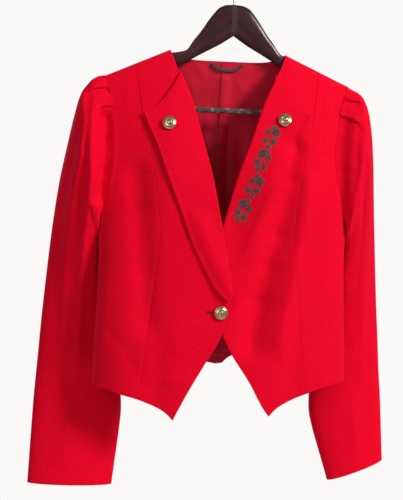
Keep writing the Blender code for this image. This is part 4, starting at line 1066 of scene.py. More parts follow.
# Sleeves
# Two pieces of wool each: a top sleeve, whose head is folded in two knife pleats on each side
# of the shoulder point, and an under sleeve. They hang from the armholes and swing forward.
SLEEVE = {
    "right": (
        # outer x, outer z, inner x, inner z, mid y, half depth, leave, folded
        (-0.1900, -0.1860, -0.1942, -0.4000, 0.000, 0.027, 0.00, 1.00),
        (-0.1980, -0.1877, -0.1955, -0.4035, 0.000, 0.031, 0.35, 1.00),
        (-0.2075, -0.1940, -0.1965, -0.4080, 0.000, 0.036, 0.65, 0.84),
        (-0.2165, -0.2031, -0.1970, -0.4130, 0.000, 0.041, 0.90, 0.64),
        (-0.2230, -0.2109, -0.1972, -0.4180, 0.001, 0.0445, 1.00, 0.50),
        (-0.2280, -0.2228, -0.1968, -0.4240, 0.003, 0.0470, 1.00, 0.33),
        (-0.2340, -0.2450, -0.1950, -0.4340, 0.006, 0.0482, 1.00, 0.22),
        (-0.2428, -0.2860, -0.1925, -0.4510, 0.013, 0.0482, 1.00, 0.08),
        (-0.2540, -0.3420, -0.1905, -0.4750, 0.024, 0.0450, 1.00, 0.00),
        (-0.2630, -0.4050, -0.1880, -0.5090, 0.038, 0.038, 1.00, 0.00),
        (-0.2765, -0.5400, -0.1685, -0.5920, 0.056, 0.026, 1.00, 0.00),
        (-0.2815, -0.6100, -0.1585, -0.6400, 0.056, 0.023, 1.00, 0.00),
        (-0.2855, -0.6700, -0.1530, -0.6850, 0.050, 0.0218, 1.00, 0.00),
        (-0.2910, -0.7965, -0.1650, -0.7985, 0.037, 0.0192, 1.00, 0.00),
    ),
    "left": (
        (0.1740, -0.1860, 0.1782, -0.4000, 0.000, 0.027, 0.00, 1.00),
        (0.1815, -0.1915, 0.1797, -0.4035, 0.000, 0.031, 0.35, 1.00),
        (0.1900, -0.1968, 0.1807, -0.4080, 0.000, 0.036, 0.65, 0.84),
        (0.1980, -0.2020, 0.1813, -0.4130, 0.000, 0.041, 0.90, 0.64),
        (0.2035, -0.2101, 0.1815, -0.4180, 0.001, 0.044, 1.00, 0.50),
        (0.2080, -0.2200, 0.1811, -0.4240, 0.003, 0.046, 1.00, 0.33),
        (0.2140, -0.2470, 0.1795, -0.4340, 0.006, 0.047, 1.00, 0.22),
        (0.2200, -0.2890, 0.1775, -0.4510, 0.013, 0.047, 1.00, 0.08),
        (0.2260, -0.3440, 0.1755, -0.4750, 0.024, 0.044, 1.00, 0.00),
        (0.2335, -0.4050, 0.1720, -0.5090, 0.038, 0.038, 1.00, 0.00),
        (0.2470, -0.5400, 0.1530, -0.5920, 0.056, 0.026, 1.00, 0.00),
        (0.2515, -0.6100, 0.1440, -0.6400, 0.056, 0.023, 1.00, 0.00),
        (0.2545, -0.6700, 0.1410, -0.6820, 0.050, 0.021, 1.00, 0.00),
        (0.2560, -0.7600, 0.1700, -0.7920, 0.037, 0.018, 1.00, 0.00),
    ),
}
WALL_SLEEVE = 0.0010
PLEAT_LAYER_SEAM = 0.0014
PLEAT_LAYER = 0.0018
HEAD_SINK = 0.0035
HEAD_PUFF = 0.0006
PLEAT_COLUMNS = (
    # arc from the tip, layers up when folded, layers up when half open
    (0.0000, 2.30, 2.30),
    (0.0080, 2.15, 2.15),
    (0.0140, 2.05, 2.05),
    (0.0190, 2.00, 2.00),
    (0.0240, 2.00, 1.90),
    (0.0240, 1.00, 1.45),
    (0.0190, 1.00, 0.95),
    (0.0140, 1.00, 0.65),
    (0.0140, 0.00, 0.00),
    (0.0190, 0.00, 0.00),
    (0.0275, 0.00, 0.30),
    (0.0370, 1.70, 1.50),
    (0.0425, 2.00, 1.90),
    (0.0540, 2.00, 1.90),
    (0.0540, 1.00, 1.30),
    (0.0425, 1.00, 0.60),
    (0.0425, 0.00, 0.00),
    (0.0560, 0.00, 0.00),
    (0.0720, 0.00, 0.00),
    (0.0950, 0.00, 0.00),
    (0.1300, 0.00, 0.00),
    (0.1650, 0.00, 0.00),
)
EDGE_STRIP = 0.0025
UNDER_STRIP = 0.0065
SLEEVE_CLEAR = 0.0005
TURNED_DOWN = 0.0032
TURNED_DEEPER = 0.0040
TURNED_IN = 0.0060
SEAM_FRONT_TOP = 0.435
SEAM_FRONT_LOW = 0.340
SEAM_BACK_TOP = 0.410
SEAM_BACK_LOW = 0.325
UNDER_SWING = 0.015
UNDER_TUCK = 0.009
SLEEVE_FOLDS = (
    # middle at the head, middle below, first ring, last ring, width, height
    (0.165, 0.170, 4.0, 12.0, 0.030, 0.0050),
    (0.110, 0.105, 4.0, 10.0, 0.026, -0.0030),
    (0.235, 0.250, 4.0, 10.0, 0.034, -0.0035),
    (-0.150, -0.160, 4.0, 11.0, 0.032, 0.0040),
    (-0.225, -0.240, 4.0, 10.0, 0.034, -0.0030),
)
SLEEVE_CREASES = {
    # width, height, then x and z of the points along each
    "right": {
        FRONT: (
            (0.0110, -0.0115, (-0.1909, -0.2434), (-0.1884, -0.2839),
                (-0.1916, -0.3276), (-0.1984, -0.3713)),
            (0.0075, 0.0050, (-0.2062, -0.2383), (-0.2053, -0.2991), (-0.2092, -0.3716),
                (-0.2159, -0.4442), (-0.2194, -0.5311), (-0.2211, -0.6324)),
            (0.0060, -0.0038, (-0.2163, -0.2068), (-0.2136, -0.2559), (-0.2182, -0.2995)),
            (0.0032, -0.0030, (-0.1998, -0.2337), (-0.1925, -0.2363)),
            (0.0090, -0.0030, (-0.2445, -0.2990), (-0.2502, -0.4159), (-0.2554, -0.5473)),
            (0.0080, -0.0010, (-0.2420, -0.4700), (-0.2200, -0.5000)),
            (0.0090, 0.0011, (-0.2500, -0.5600), (-0.2250, -0.5900)),
            (0.0080, -0.0007, (-0.2480, -0.6500), (-0.2150, -0.6700)),
            (0.0090, 0.0009, (-0.2300, -0.6900), (-0.2360, -0.7600)),
        ),
        BACK: (
            (0.0060, 0.0037, (-0.2080, -0.2350), (-0.2100, -0.3050)),
            (0.0060, -0.0031, (-0.2200, -0.2300), (-0.2260, -0.3200)),
            (0.0080, 0.0031, (-0.2100, -0.3400), (-0.2240, -0.4500)),
            (0.0080, -0.0020, (-0.2500, -0.5300), (-0.2200, -0.5550)),
        ),
    },
    "left": {
        FRONT: (
            (0.0080, 0.0052, (0.1839, -0.2372), (0.1772, -0.2702), (0.1754, -0.3149),
                (0.1762, -0.4042), (0.1786, -0.4934)),
            (0.0080, 0.0026, (0.1941, -0.2840), (0.2042, -0.3734), (0.2109, -0.5079)),
            (0.0060, -0.0017, (0.2180, -0.4600), (0.1980, -0.4900)),
            (0.0070, 0.0019, (0.2250, -0.5500), (0.2000, -0.5800)),
            (0.0070, -0.0017, (0.2200, -0.6400), (0.1900, -0.6600)),
            (0.0080, 0.0017, (0.2060, -0.6800), (0.2120, -0.7500)),
        ),
        BACK: (
            (0.0060, 0.0037, (0.1920, -0.2350), (0.1940, -0.3050)),
            (0.0060, -0.0031, (0.2040, -0.2300), (0.2080, -0.3200)),
            (0.0080, 0.0031, (0.1960, -0.3400), (0.2050, -0.4500)),
            (0.0080, -0.0020, (0.2200, -0.5300), (0.1950, -0.5550)),
        ),
    },
}
RING_STEPS = 72
ARMHOLE_STEPS = 60
COLUMN_STEP = 0.0036
UNDER_SLEEVE_CELLS = 24
TOP_SLEEVE_CUT = (0.330, 0.640, 0.112)
UNDER_SLEEVE_CUT = (0.160, 0.460, 0.039)
RING_PARTS = (6, 5, 4, 4, 4, 5, 7, 9, 10, 20, 11, 9, 18)
sleeve_of = {}
sleeve_creases = {}
for side in SIDES:
    indexed = [(k, *row) for k, row in enumerate(SLEEVE[side])]
    sleeve_of[side] = [reader(indexed, c) for c in range(1, 9)]
    sleeve_creases[side] = {face: crease_rows(SLEEVE_CREASES[side][face]) for face in (FRONT, BACK)}
RINGS = [0.0]
for k, parts in enumerate(RING_PARTS):
    RINGS += [k + (n + 1) / parts for n in range(parts)]


def armhole_loop(side):
    """Front and back branches of the armhole as polylines with running arc length."""
    branches = {}
    tip_z = shoulder_z(TIP_U)
    for face in (FRONT, BACK):
        points = []
        for k in range(ARMHOLE_STEPS + 1):
            z = tip_z + (UNDERARM_Z - tip_z) * (k / ARMHOLE_STEPS) ** 1.3
            turn = turn_of(armhole_of[face](z), z) if k < ARMHOLE_STEPS else 0.0
            points.append(body_point_round(side, face, turn, z))
        points[0].y = 0.0
        arcs = [0.0]
        for a, b in zip(points, points[1:]):
            arcs.append(arcs[-1] + (b - a).length)
        branches[face] = (points, arcs)
    return branches


def on_branch(branch, share):
    """Point at a share of the branch's length."""
    points, arcs = branch
    at = min(1.0, max(0.0, share)) * arcs[-1]
    k = min(len(arcs) - 2, max(0, bisect.bisect_left(arcs, at) - 1))
    return points[k].lerp(points[k + 1], (at - arcs[k]) / (arcs[k + 1] - arcs[k]))


def ring_of(side, ring):
    """One ring of a sleeve: its ends, middle, depth, and the angles at shares of its length."""
    ox, oz, ix, iz, mid, deep, leave, folded = [read(ring) for read in sleeve_of[side]]
    touching = JACKET_X + side_sign(side) * (half_width(iz) - 0.0010)
    ix += (touching - ix) * (1.0 - smooth((ring - 4.2) / 1.8))
    outer, inner = Vector((ox, 0.0, oz)), Vector((ix, 0.0, iz))
    long = (outer - inner).length / 2
    arcs = [0.0]
    for k in range(RING_STEPS):
        a0, a1 = math.pi * k / RING_STEPS, math.pi * (k + 1) / RING_STEPS
        step = math.hypot(long * (math.cos(a1) - math.cos(a0)), deep * (math.sin(a1) - math.sin(a0)))
        arcs.append(arcs[-1] + step)
    below = bump((ring - 7.2) / 1.9)
    return outer, inner, (outer + inner) / 2 + Vector((0, mid, 0)), deep, leave, folded, arcs, below


def sleeve_point(side, loop, ring, sigma):
    """Point on a ring, sigma from 0 at the outside to +0.5 or -0.5 underneath."""
    outer, inner, centre, deep, leave, _, arcs, below = ring
    if abs(sigma) > 0.5:
        sigma -= math.copysign(1.0, sigma)
    at = min(1.0, abs(sigma) * 2) * arcs[-1]
    k = min(RING_STEPS - 1, max(0, bisect.bisect_left(arcs, at) - 1))
    step = k + (at - arcs[k]) / (arcs[k + 1] - arcs[k])
    angle = math.copysign(math.pi * step / RING_STEPS, sigma)
    low = (1.0 - math.cos(angle)) / 2
    own = centre + (outer - inner) / 2 * math.cos(angle) + Vector((0, -deep * math.sin(angle), 0))
    own.y += UNDER_SWING * below * low
    past = math.pi + angle if angle < 0 else 0.0
    own.x -= side_sign(side) * UNDER_TUCK * below * smooth(past / 0.45) * (1.0 - smooth((past - 0.6) / 1.2))
    if leave >= 1.0:
        return own
    first = SLEEVE[side][0]
    shift = (outer - Vector((first[0], 0.0, first[1]))) * (1 - low)
    shift += (inner - Vector((first[2], 0.0, first[3]))) * low
    start = on_branch(loop[FRONT if sigma >= 0 else BACK], abs(sigma) * 2)
    return (start + shift + Vector((side_sign(side) * SLEEVE_CLEAR, 0, 0))).lerp(own, leave)


def sleeve_surface(side, loop, ring, number, sigma, height):
    """Point on a ring, raised off it by a height and by the sleeve's long folds."""
    point = sleeve_point(side, loop, ring, sigma)
    along = sleeve_point(side, loop, ring, sigma + 0.004) - sleeve_point(side, loop, ring, sigma - 0.004)
    along.normalize()
    out = point - ring[2]
    out = (out - along * out.dot(along)).normalized()
    return point + out * (height + fold_height(number, sigma))


def creased(side, centre, number, point):
    """The same point, moved forward or back by the creases, less so beside the armhole."""
    moved = 0.0
    for face, rows in sleeve_creases[side].items():
        facing = smooth((point.y - centre.y) * face / 0.016)
        if facing:
            for *line, height in rows:
                moved += face * facing * height * crease(point.x, point.z, *line)
    return point + Vector((0.0, moved * smooth(number / 0.7), 0.0))


def fold_height(ring, sigma):
    """Height of the long folds that run down from the head."""
    total = 0.0
    for head, below, first, last, width, height in SLEEVE_FOLDS:
        if ring <= first or ring >= last:
            continue
        share = (ring - first) / (last - first)
        middle = head + (below - head) * share
        strength = smooth(min(share / 0.30, (1 - share) / 0.60))
        total += height * strength * bump((sigma - middle) / width)
    return total


def top_columns(length, turn):
    """Columns of the top sleeve, back seam to front seam: folded place, layers, cloth place."""
    half = []
    run = 0.0
    for k, (arc, high, loose) in enumerate(PLEAT_COLUMNS):
        if k:
            run += max(turn, abs(arc - PLEAT_COLUMNS[k - 1][0]))
        half.append((arc / length, high, loose, run))
    far_front = run + SEAM_FRONT_TOP * length - PLEAT_COLUMNS[-1][0]
    far_back = run + SEAM_BACK_TOP * length - PLEAT_COLUMNS[-1][0]
    strip = EDGE_STRIP / length
    ends_front = [
        (SEAM_FRONT_TOP - strip, 0.0, 0.0, far_front - EDGE_STRIP),
        (SEAM_FRONT_TOP, 0.0, 0.0, far_front),
    ]
    ends_back = [
        (-SEAM_BACK_TOP, 0.0, 0.0, -far_back),
        (-SEAM_BACK_TOP + strip, 0.0, 0.0, -far_back + EDGE_STRIP),
    ]
    back = [(-place, high, loose, -run) for place, high, loose, run in reversed(half[1:])]
    return ends_back + back + half + ends_front


def seam_gap(ring):
    """Half the gap between the two sleeve pieces, as a share of the ring."""
    return (-0.00005 + 0.00052 * bump((ring - 7.3) / 1.8)) / 0.32


def curved(points, parts):
    """A smooth line through points with even parts between them."""
    out = [points[0]]
    for k in range(len(points) - 1):
        p1, p2 = points[k], points[k + 1]
        p0 = points[k - 1] if k else p1 + (p1 - p2)
        p3 = points[k + 2] if k + 2 < len(points) else p2 + (p2 - p1)
        t01 = max(1e-6, (p1 - p0).length) ** 0.5
        t12 = max(1e-6, (p2 - p1).length) ** 0.5
        t23 = max(1e-6, (p3 - p2).length) ** 0.5
        m1 = (p2 - p1) + t12 * ((p1 - p0) / t01 - (p2 - p0) / (t01 + t12))
        m2 = (p2 - p1) + t12 * ((p3 - p2) / t23 - (p3 - p1) / (t12 + t23))
        for n in range(1, parts[k] + 1):
            t = n / parts[k]
            held = p1 * (2 * t ** 3 - 3 * t ** 2 + 1) + p2 * (3 * t ** 2 - 2 * t ** 3)
            out.append(held + m1 * (t ** 3 - 2 * t ** 2 + t) + m2 * (t ** 3 - t ** 2))
    return out


def sleeve_seams(number):
    """Where the front and back seams lie on a ring, as shares of its half."""
    share = smooth(min(1.0, number / 8.0))
    front = SEAM_FRONT_TOP + (SEAM_FRONT_LOW - SEAM_FRONT_TOP) * share
    back = SEAM_BACK_TOP + (SEAM_BACK_LOW - SEAM_BACK_TOP) * share
    return front, back


def top_sleeve_rows(side, loop):
    """Rows of a top sleeve from head to cuff, across from the back seam to the front one."""
    length = loop[FRONT][1][-1] + loop[BACK][1][-1]
    rows = []
    parts = None
    for number in RINGS:
        ring = ring_of(side, number)
        folded = ring[5] ** 3.2
        columns = top_columns(length, 0.0012 + 0.0030 * smooth((0.5 - folded) / 0.25))
        front, back = sleeve_seams(number)
        front -= seam_gap(number)
        back -= seam_gap(number)
        layer = PLEAT_LAYER_SEAM + (PLEAT_LAYER - PLEAT_LAYER_SEAM) * smooth(number / 4.0)
        sunk = HEAD_SINK * (1.0 - smooth(number / 3.5))
        puffed = HEAD_PUFF * (1.0 - smooth((number - 5.0) / 1.0))
        row = []
        for place, high, loose, run in columns:
            if run >= 0:
                spread, ends = run / columns[-1][3] * front, place / columns[-1][0] * front
            else:
                spread, ends = -run / columns[0][3] * back, -place / columns[0][0] * back
            sigma = folded * ends + (1 - folded) * spread
            rise = min(1.0, folded / 0.5)
            layers = high + (loose - high) * smooth((1 - folded) / 0.5)
            height = layers * layer * rise + puffed * bump(sigma / 0.06) - sunk * bump(sigma / 0.12)
            row.append(sleeve_surface(side, loop, ring, number, sigma, height))
        if parts is None:
            parts = [max(2, math.ceil((b[3] - a[3]) / COLUMN_STEP)) for a, b in zip(columns, columns[1:])]
        rows.append([creased(side, ring[2], number, point) for point in curved(row, parts)])
    return rows


def under_sleeve_rows(side, loop):
    """Rows of an under sleeve from head to cuff, across from the front seam to the back one."""
    rows = []
    for number in RINGS:
        ring = ring_of(side, number)
        front, back = sleeve_seams(number)
        front += seam_gap(number)
        back = 1.0 - back - seam_gap(number)
        wide = back - front - 2 * UNDER_STRIP
        inner = [UNDER_STRIP + wide * k / UNDER_SLEEVE_CELLS for k in range(UNDER_SLEEVE_CELLS + 1)]
        row = []
        for away in [0.0] + inner + [back - front]:
            sigma = front + away
            point = sleeve_surface(side, loop, ring, number, sigma - 1.0 if sigma > 0.5 else sigma, 0.0)
            row.append(creased(side, ring[2], number, point))
        rows.append(row)
    return rows


def turned_in(side, loop, rows):
    """Rows with a seam allowance first, folded in behind the body's edge at the armhole."""
    edge = loop[FRONT][0] + loop[BACK][0]
    middle = sum(edge, Vector()) / len(edge)
    under, inside = [], []
    for point in rows[0]:
        inward = middle - point
        inward.x = 0.0
        inward.normalize()
        under.append(point + inward * TURNED_DOWN)
        inside.append(point + inward * TURNED_DEEPER - Vector((side_sign(side) * TURNED_IN, 0, 0)))
    return [inside, under] + rows


for side in SIDES:
    loop = armhole_loop(side)
    sign = side_sign(side)
    for name, rows, outward, cut, held in (
        ("top_sleeve_", top_sleeve_rows(side, loop), Vector((sign, 0, 0)), TOP_SLEEVE_CUT, "gathered"),
        ("under_sleeve_", under_sleeve_rows(side, loop), Vector((-sign, 0, -0.6)), UNDER_SLEEVE_CUT, "hung"),
    ):
        rows = turned_in(side, loop, rows)
        item = make_cloth(name + side, rows, WALL_SLEEVE, outward, offset=0.0, even=False, rounding=0.0003)


# Buttons
# Antiqued stamped brass, domed, 20.8 mm across, with a rope rim, a dark groove and a rosette
# round a small boss. The lapel buttons are sewn down flat and the front one has a shank.
BUTTON_R = 0.0104
BUTTON_H = 0.0062
BUTTON_PROFILE = (
    # share of the radius, share of the height
    (0.00, 1.000),
    (0.36, 0.965),
    (0.66, 0.830),
    (0.88, 0.580),
    (1.00, 0.300),
    (0.96, 0.060),
    (0.86, 0.000),
)
BUTTONS = (
    # name, side, half width, z
    ("button_lapel_right", "right", 0.0880, -0.257),
    ("button_lapel_left", "left", 0.0810, -0.247),
)
SHANK_R = 0.0016
SHANK_L = 0.0026
BUTTON_LAPEL_SIT = 0.0009
BUTTON_FRONT_SIT = 0.0006
BUTTON_AROUND = 96
ROPE_TURNS = 40
ROPE_SLANT = 26
PETALS = 10
BUTTON_RELIEF = (
    # share of the radius, width, height of: rope rim, groove, petals, ring, boss
    (0.925, 0.040, 0.00042),
    (0.815, 0.040, -0.00040),
    (0.600, 0.120, 0.00010),
    (0.340, 0.050, -0.00050),
    (0.000, 0.200, 0.00035),
)


def stored(tree, name):
    """A value that is kept in the mesh, point by point."""
    made = tree.nodes.new("ShaderNodeAttribute")
    made.attribute_name = name
    return made.outputs["Fac"]


def brass_look():
    """Brass, bright where it is rubbed and brown in its hollows."""
    made, tree, shader = new_look("antique_brass", {"Metallic": 1.0})
    blotches = noise(tree, place_on(tree), 420.0, 4.0, 0.6)
    scratches = noise(tree, place_on(tree, (1.0, 1.0, 5.0)), 1600.0, 2.0)
    golds = (
        (0.30, (0.56, 0.37, 0.19)),
        (0.62, (0.82, 0.61, 0.36)),
        (0.85, (0.90, 0.74, 0.50)),
    )
    rubbed = ramp(tree, blotches, golds)
    patina = ramp(tree, blotches, ((0.30, (0.055, 0.030, 0.010)), (0.70, (0.16, 0.095, 0.035))))
    share = tree.nodes.new("ShaderNodeMath")
    share.operation = "MULTIPLY_ADD"
    share.use_clamp = True
    tree.links.new(blotches, share.inputs[0])
    share.inputs[1].default_value = 0.28
    tree.links.new(stored(tree, "hollow"), share.inputs[2])
    tree.links.new(blend_colours(tree, share.outputs[0], rubbed, patina), shader.inputs["Base Color"])
    tree.links.new(shade(tree, share.outputs[0], 0.20, 0.24, 0.90, 0.62), shader.inputs["Roughness"])
    raise_surface(tree, shader, ((blotches, 0.20, 0.0001), (scratches, 0.12, 0.00003)))
    return made


BRASS = brass_look()
dome = reader(BUTTON_PROFILE[:5], 1)


def stamped(share, turn):
    """Relief of the button's face in metres at a share of its radius."""
    rope = 0.65 + 0.35 * math.cos(ROPE_TURNS * turn + ROPE_SLANT * share)
    leaf = (0.5 + 0.5 * math.cos(PETALS * turn)) ** 0.7
    relief = 0.0
    for (middle, wide, high), pattern in zip(BUTTON_RELIEF, (rope, 1.0, leaf, 1.0, 1.0)):
        relief += high * pattern * bump((share - middle) / wide)
    return relief


def stand_for(name, node, mesh):
    """A rigid piece with this mesh in place of the node's solid."""
    item = put_in_scene(name, mesh)
    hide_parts(node)
    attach(item, "root")


def turned_button(node, base, normal, shank=0.0):
    """The face is stamped over a dome, the back is flat, and the shank is a short round post."""
    turns = [2 * math.pi * n / BUTTON_AROUND for n in range(BUTTON_AROUND)]
    rings = []
    for share in [0.03 * k for k in range(1, 33)] + [0.985, 1.0]:
        reliefs = [stamped(share, turn) for turn in turns]
        rings.append([(share * BUTTON_R, dome(share) * BUTTON_H + relief, relief) for relief in reliefs])
    for out, high in ((0.99, 0.17), (0.955, 0.06), (0.88, 0.0), (0.40, 0.0)):
        rings.append([(out * BUTTON_R, high * BUTTON_H, -0.0003)] * BUTTON_AROUND)
    if shank:
        rings += [[(SHANK_R, depth, -0.0003)] * BUTTON_AROUND for depth in (0.0, -shank)]
    bm = bmesh.new()
    hollow = bm.verts.layers.float.new("hollow")
    top = bm.verts.new((0.0, 0.0, BUTTON_H + stamped(0.0, 0.0)))
    loops = []
    for ring in rings:
        loop = []
        for turn, (out, high, relief) in zip(turns, ring):
            vert = bm.verts.new((out * math.cos(turn), out * math.sin(turn), high))
            vert[hollow] = min(1.0, max(0.0, 0.08 - relief / 0.00060))
            loop.append(vert)
        loops.append(loop)
    bottom = bm.verts.new((0.0, 0.0, -shank))
    for n in range(BUTTON_AROUND):
        after = (n + 1) % BUTTON_AROUND
        bm.faces.new((top, loops[0][n], loops[0][after]))
        bm.faces.new((bottom, loops[-1][after], loops[-1][n]))
        for above, below in zip(loops, loops[1:]):
            bm.faces.new((above[n], below[n], below[after], above[after]))
    bmesh.ops.recalc_face_normals(bm, faces=bm.faces)
    mesh = mesh_of(node, bm)
    mesh.shade_smooth()
    mesh.materials.append(BRASS)
    mesh.transform(Matrix.Translation(base) @ normal.to_track_quat("Z", "Y").to_matrix().to_4x4())
    stand_for("brass_" + node, node, mesh)


def surface_at(rows, x, z):
    """Point and outward normal of a cloth grid nearest to the given x and z."""
    best = None
    for upper, lower in zip(rows, rows[1:]):
        for a, b, c, d in zip(upper, upper[1:], lower, lower[1:]):
            middle = (a + b + c + d) / 4
            away = (middle.x - x) ** 2 + (middle.z - z) ** 2
            if best is None or away < best[0]:
                best = (away, middle, (b - a + d - c).cross(c - a + d - b).normalized())
    _, middle, normal = best
    if normal.y > 0:
        normal = -normal
    y = middle.y - (normal.x * (x - middle.x) + normal.z * (z - middle.z)) / normal.y
    return Vector((x, y, z)), normal


for name, side, u, z in BUTTONS:
    rows = [row[len(LAPEL_TURNS):] for row in lapel_grid[side]]
    place, normal = surface_at(rows, JACKET_X + side_sign(side) * u, z)
    turned_button(name, place + normal * BUTTON_LAPEL_SIT, normal)
base = body_point("right", FRONT, BUTTON_FRONT_U, BUTTON_FRONT_Z)
normal = body_normal("right", FRONT, BUTTON_FRONT_U, BUTTON_FRONT_Z)
turned_button("button_front", base + normal * BUTTON_FRONT_SIT, normal, shank=SHANK_L)


# Hanging loop
# Black woven tape, 4.6 mm wide and ribbed across, which is sewn flat inside the back neck at
# both ends. It hangs slack between them.
LOOP_LEFT_X = -0.0325
LOOP_RIGHT_X = 0.0160
LOOP_Z = -0.1585
LOOP_W = 0.0046
LOOP_WALL = 0.0010
LOOP_SAG = 0.0085
LOOP_OFF = 0.0010
LOOP_STAND = 0.0030
LOOP_LEAN = 0.0004
LOOP_ACROSS = (0.0, 0.25, 0.5, 0.75, 1.0)
LOOP_PARTS = 72


def tape_look():
    """Black ribbed tape, a little worn."""
    made, tree, shader = new_look("black_tape", {"Roughness": 0.62, "Sheen Weight": 0.25})
    ribs = tree.nodes.new("ShaderNodeTexWave")
    ribs.inputs["Scale"].default_value = 420.0
    ribs.inputs["Distortion"].default_value = 0.6
    tree.links.new(place_on(tree, source="UV"), ribs.inputs["Vector"])
    fibres = noise(tree, place_on(tree), 900.0, 2.0)
    colour = ramp(tree, ribs.outputs["Fac"], ((0.20, (0.008, 0.007, 0.009)), (0.80, (0.034, 0.028, 0.032))))
    worn = shade(tree, fibres, 0.35, 0.75, 0.75)
    tree.links.new(blend_colours(tree, 1.0, colour, worn, "MULTIPLY"), shader.inputs["Base Color"])
    raise_surface(tree, shader, ((ribs.outputs["Fac"], 0.5, 0.0002), (fibres, 0.3, 0.0001)))
    return made


TAPE = tape_look()
rows = []
for k in range(LOOP_PARTS + 1):
    t = k / LOOP_PARTS
    x = LOOP_LEFT_X + (LOOP_RIGHT_X - LOOP_LEFT_X) * t
    z = LOOP_Z - LOOP_SAG * math.sin(math.pi * t) ** 0.8 * (0.75 + 0.5 * t)
    side = "left" if x > JACKET_X else "right"
    inner = WALL_BODY + SIT + WALL_LINING + LOOP_OFF + LOOP_STAND * math.sin(math.pi * t)
    y = body_point(side, BACK, abs(x - JACKET_X), z).y - inner
    rows.append([Vector((x, y - LOOP_LEAN * s, z + LOOP_W * (0.5 - s))) for s in LOOP_ACROSS])
loop_tape = make_cloth("hanging_loop", rows, LOOP_WALL, OUT[BACK], looks=(TAPE, TAPE), rounding=0.0002)


# Embroidery and hand stitches
# A grey-green flower vine is embroidered on the left lapel in satin stitches and knots. The
# buttonhole is edged with buttonhole stitch, and the loop and the lining are sewn on by hand.
VINE = (
    # x, z
    (0.0612, -0.2560),
    (0.0588, -0.2637),
    (0.0393, -0.3066),
    (0.0257, -0.3507),
    (0.0092, -0.3904),
    (0.0062, -0.3980),
)
VINE_STITCHES = 96
VINE_STITCH = 0.0012
VINE_SWAY = 0.0016
VINE_WAVES = 5.2
SPRIG_DOWN = math.atan2(-0.92, -0.40)
SPRIGS = (
    # x, z, side that its large flower leans to
    (0.0522, -0.2722, 1),
    (0.0398, -0.3070, -1),
    (0.0282, -0.3448, 1),
    (0.0134, -0.3806, -1),
)
FLOWERS = (
    # along the sprig, aside, petals, near, far, half width, turn with the lean, turn, tone
    (-0.0088, 0.0042, 8, 0.0011, 0.0074, 0.00225, 0.3, 0.0, 0.0),
    (-0.0052, -0.0064, 6, 0.0009, 0.0055, 0.00180, 0.0, 0.7, 0.05),
    (0.0058, 0.0062, 6, 0.0009, 0.0053, 0.00180, 0.0, 0.1, 0.10),
    (0.0092, -0.0052, 6, 0.0008, 0.0050, 0.00170, 0.0, 0.5, 0.10),
    (-0.0150, -0.0010, 5, 0.0007, 0.0042, 0.00150, 0.0, 0.2, 0.15),
    (0.0150, 0.0016, 5, 0.0007, 0.0044, 0.00150, 0.0, 0.9, 0.10),
)
LEAVES = (
    # along the sprig, aside, bend, length
    (-0.0015, 0.0016, 0.75, 0.0062),
    (0.0008, -0.0018, -0.80, 0.0066),
    (0.0030, 0.0014, 0.20, 0.0060),
    (0.0084, 0.0016, 0.75, 0.0062),
    (0.0122, -0.0010, 0.10, 0.0060),
    (-0.0110, -0.0022, -2.30, 0.0056),
    (0.0130, 0.0020, 0.90, 0.0060),
    (0.0020, -0.0076, -0.20, 0.0056),
    (-0.0010, 0.0086, 0.30, 0.0054),
)
BERRIES = (
    # along the sprig, aside
    (0.0158, 0.0050),
    (0.0165, -0.0052),
    (0.0130, -0.0096),
    (0.0098, 0.0106),
    (-0.0035, 0.0108),
)
THREAD = 0.00066
PETAL_STEP = 0.00062
LEAF_STEP = 0.00064
LEAF_HALF = 0.00135
STITCH_SLANT = 0.25
EYE_R = 0.00045
BERRY_R = 0.00115
SEWING_THREAD = 0.00034
HOLE_STEP = 0.0006
HOLE_EDGE = 0.00165
HOLE_LIP = 0.00062
BAR_STITCHES = 5
TACKS = 7
SLIP_STITCHES = 48
SLIP_HALF = 0.081
SLIP_DOWN = 0.0012


def thread_look(name, dark, light):
    """Twisted thread, its tone read from each stitch."""
    made, tree, shader = new_look(name, {"Roughness": 0.48, "Specular IOR Level": 0.35})
    fibres = noise(tree, place_on(tree), 2600.0, 2.0)
    colour = ramp(tree, stored(tree, "tone"), ((0.0, dark), (1.0, light)))
    twisted = shade(tree, fibres, 0.30, 0.62, 0.70)
    tree.links.new(blend_colours(tree, 1.0, colour, twisted, "MULTIPLY"), shader.inputs["Base Color"])
    raise_surface(tree, shader, ((fibres, 0.4, 0.00008),))
    return made


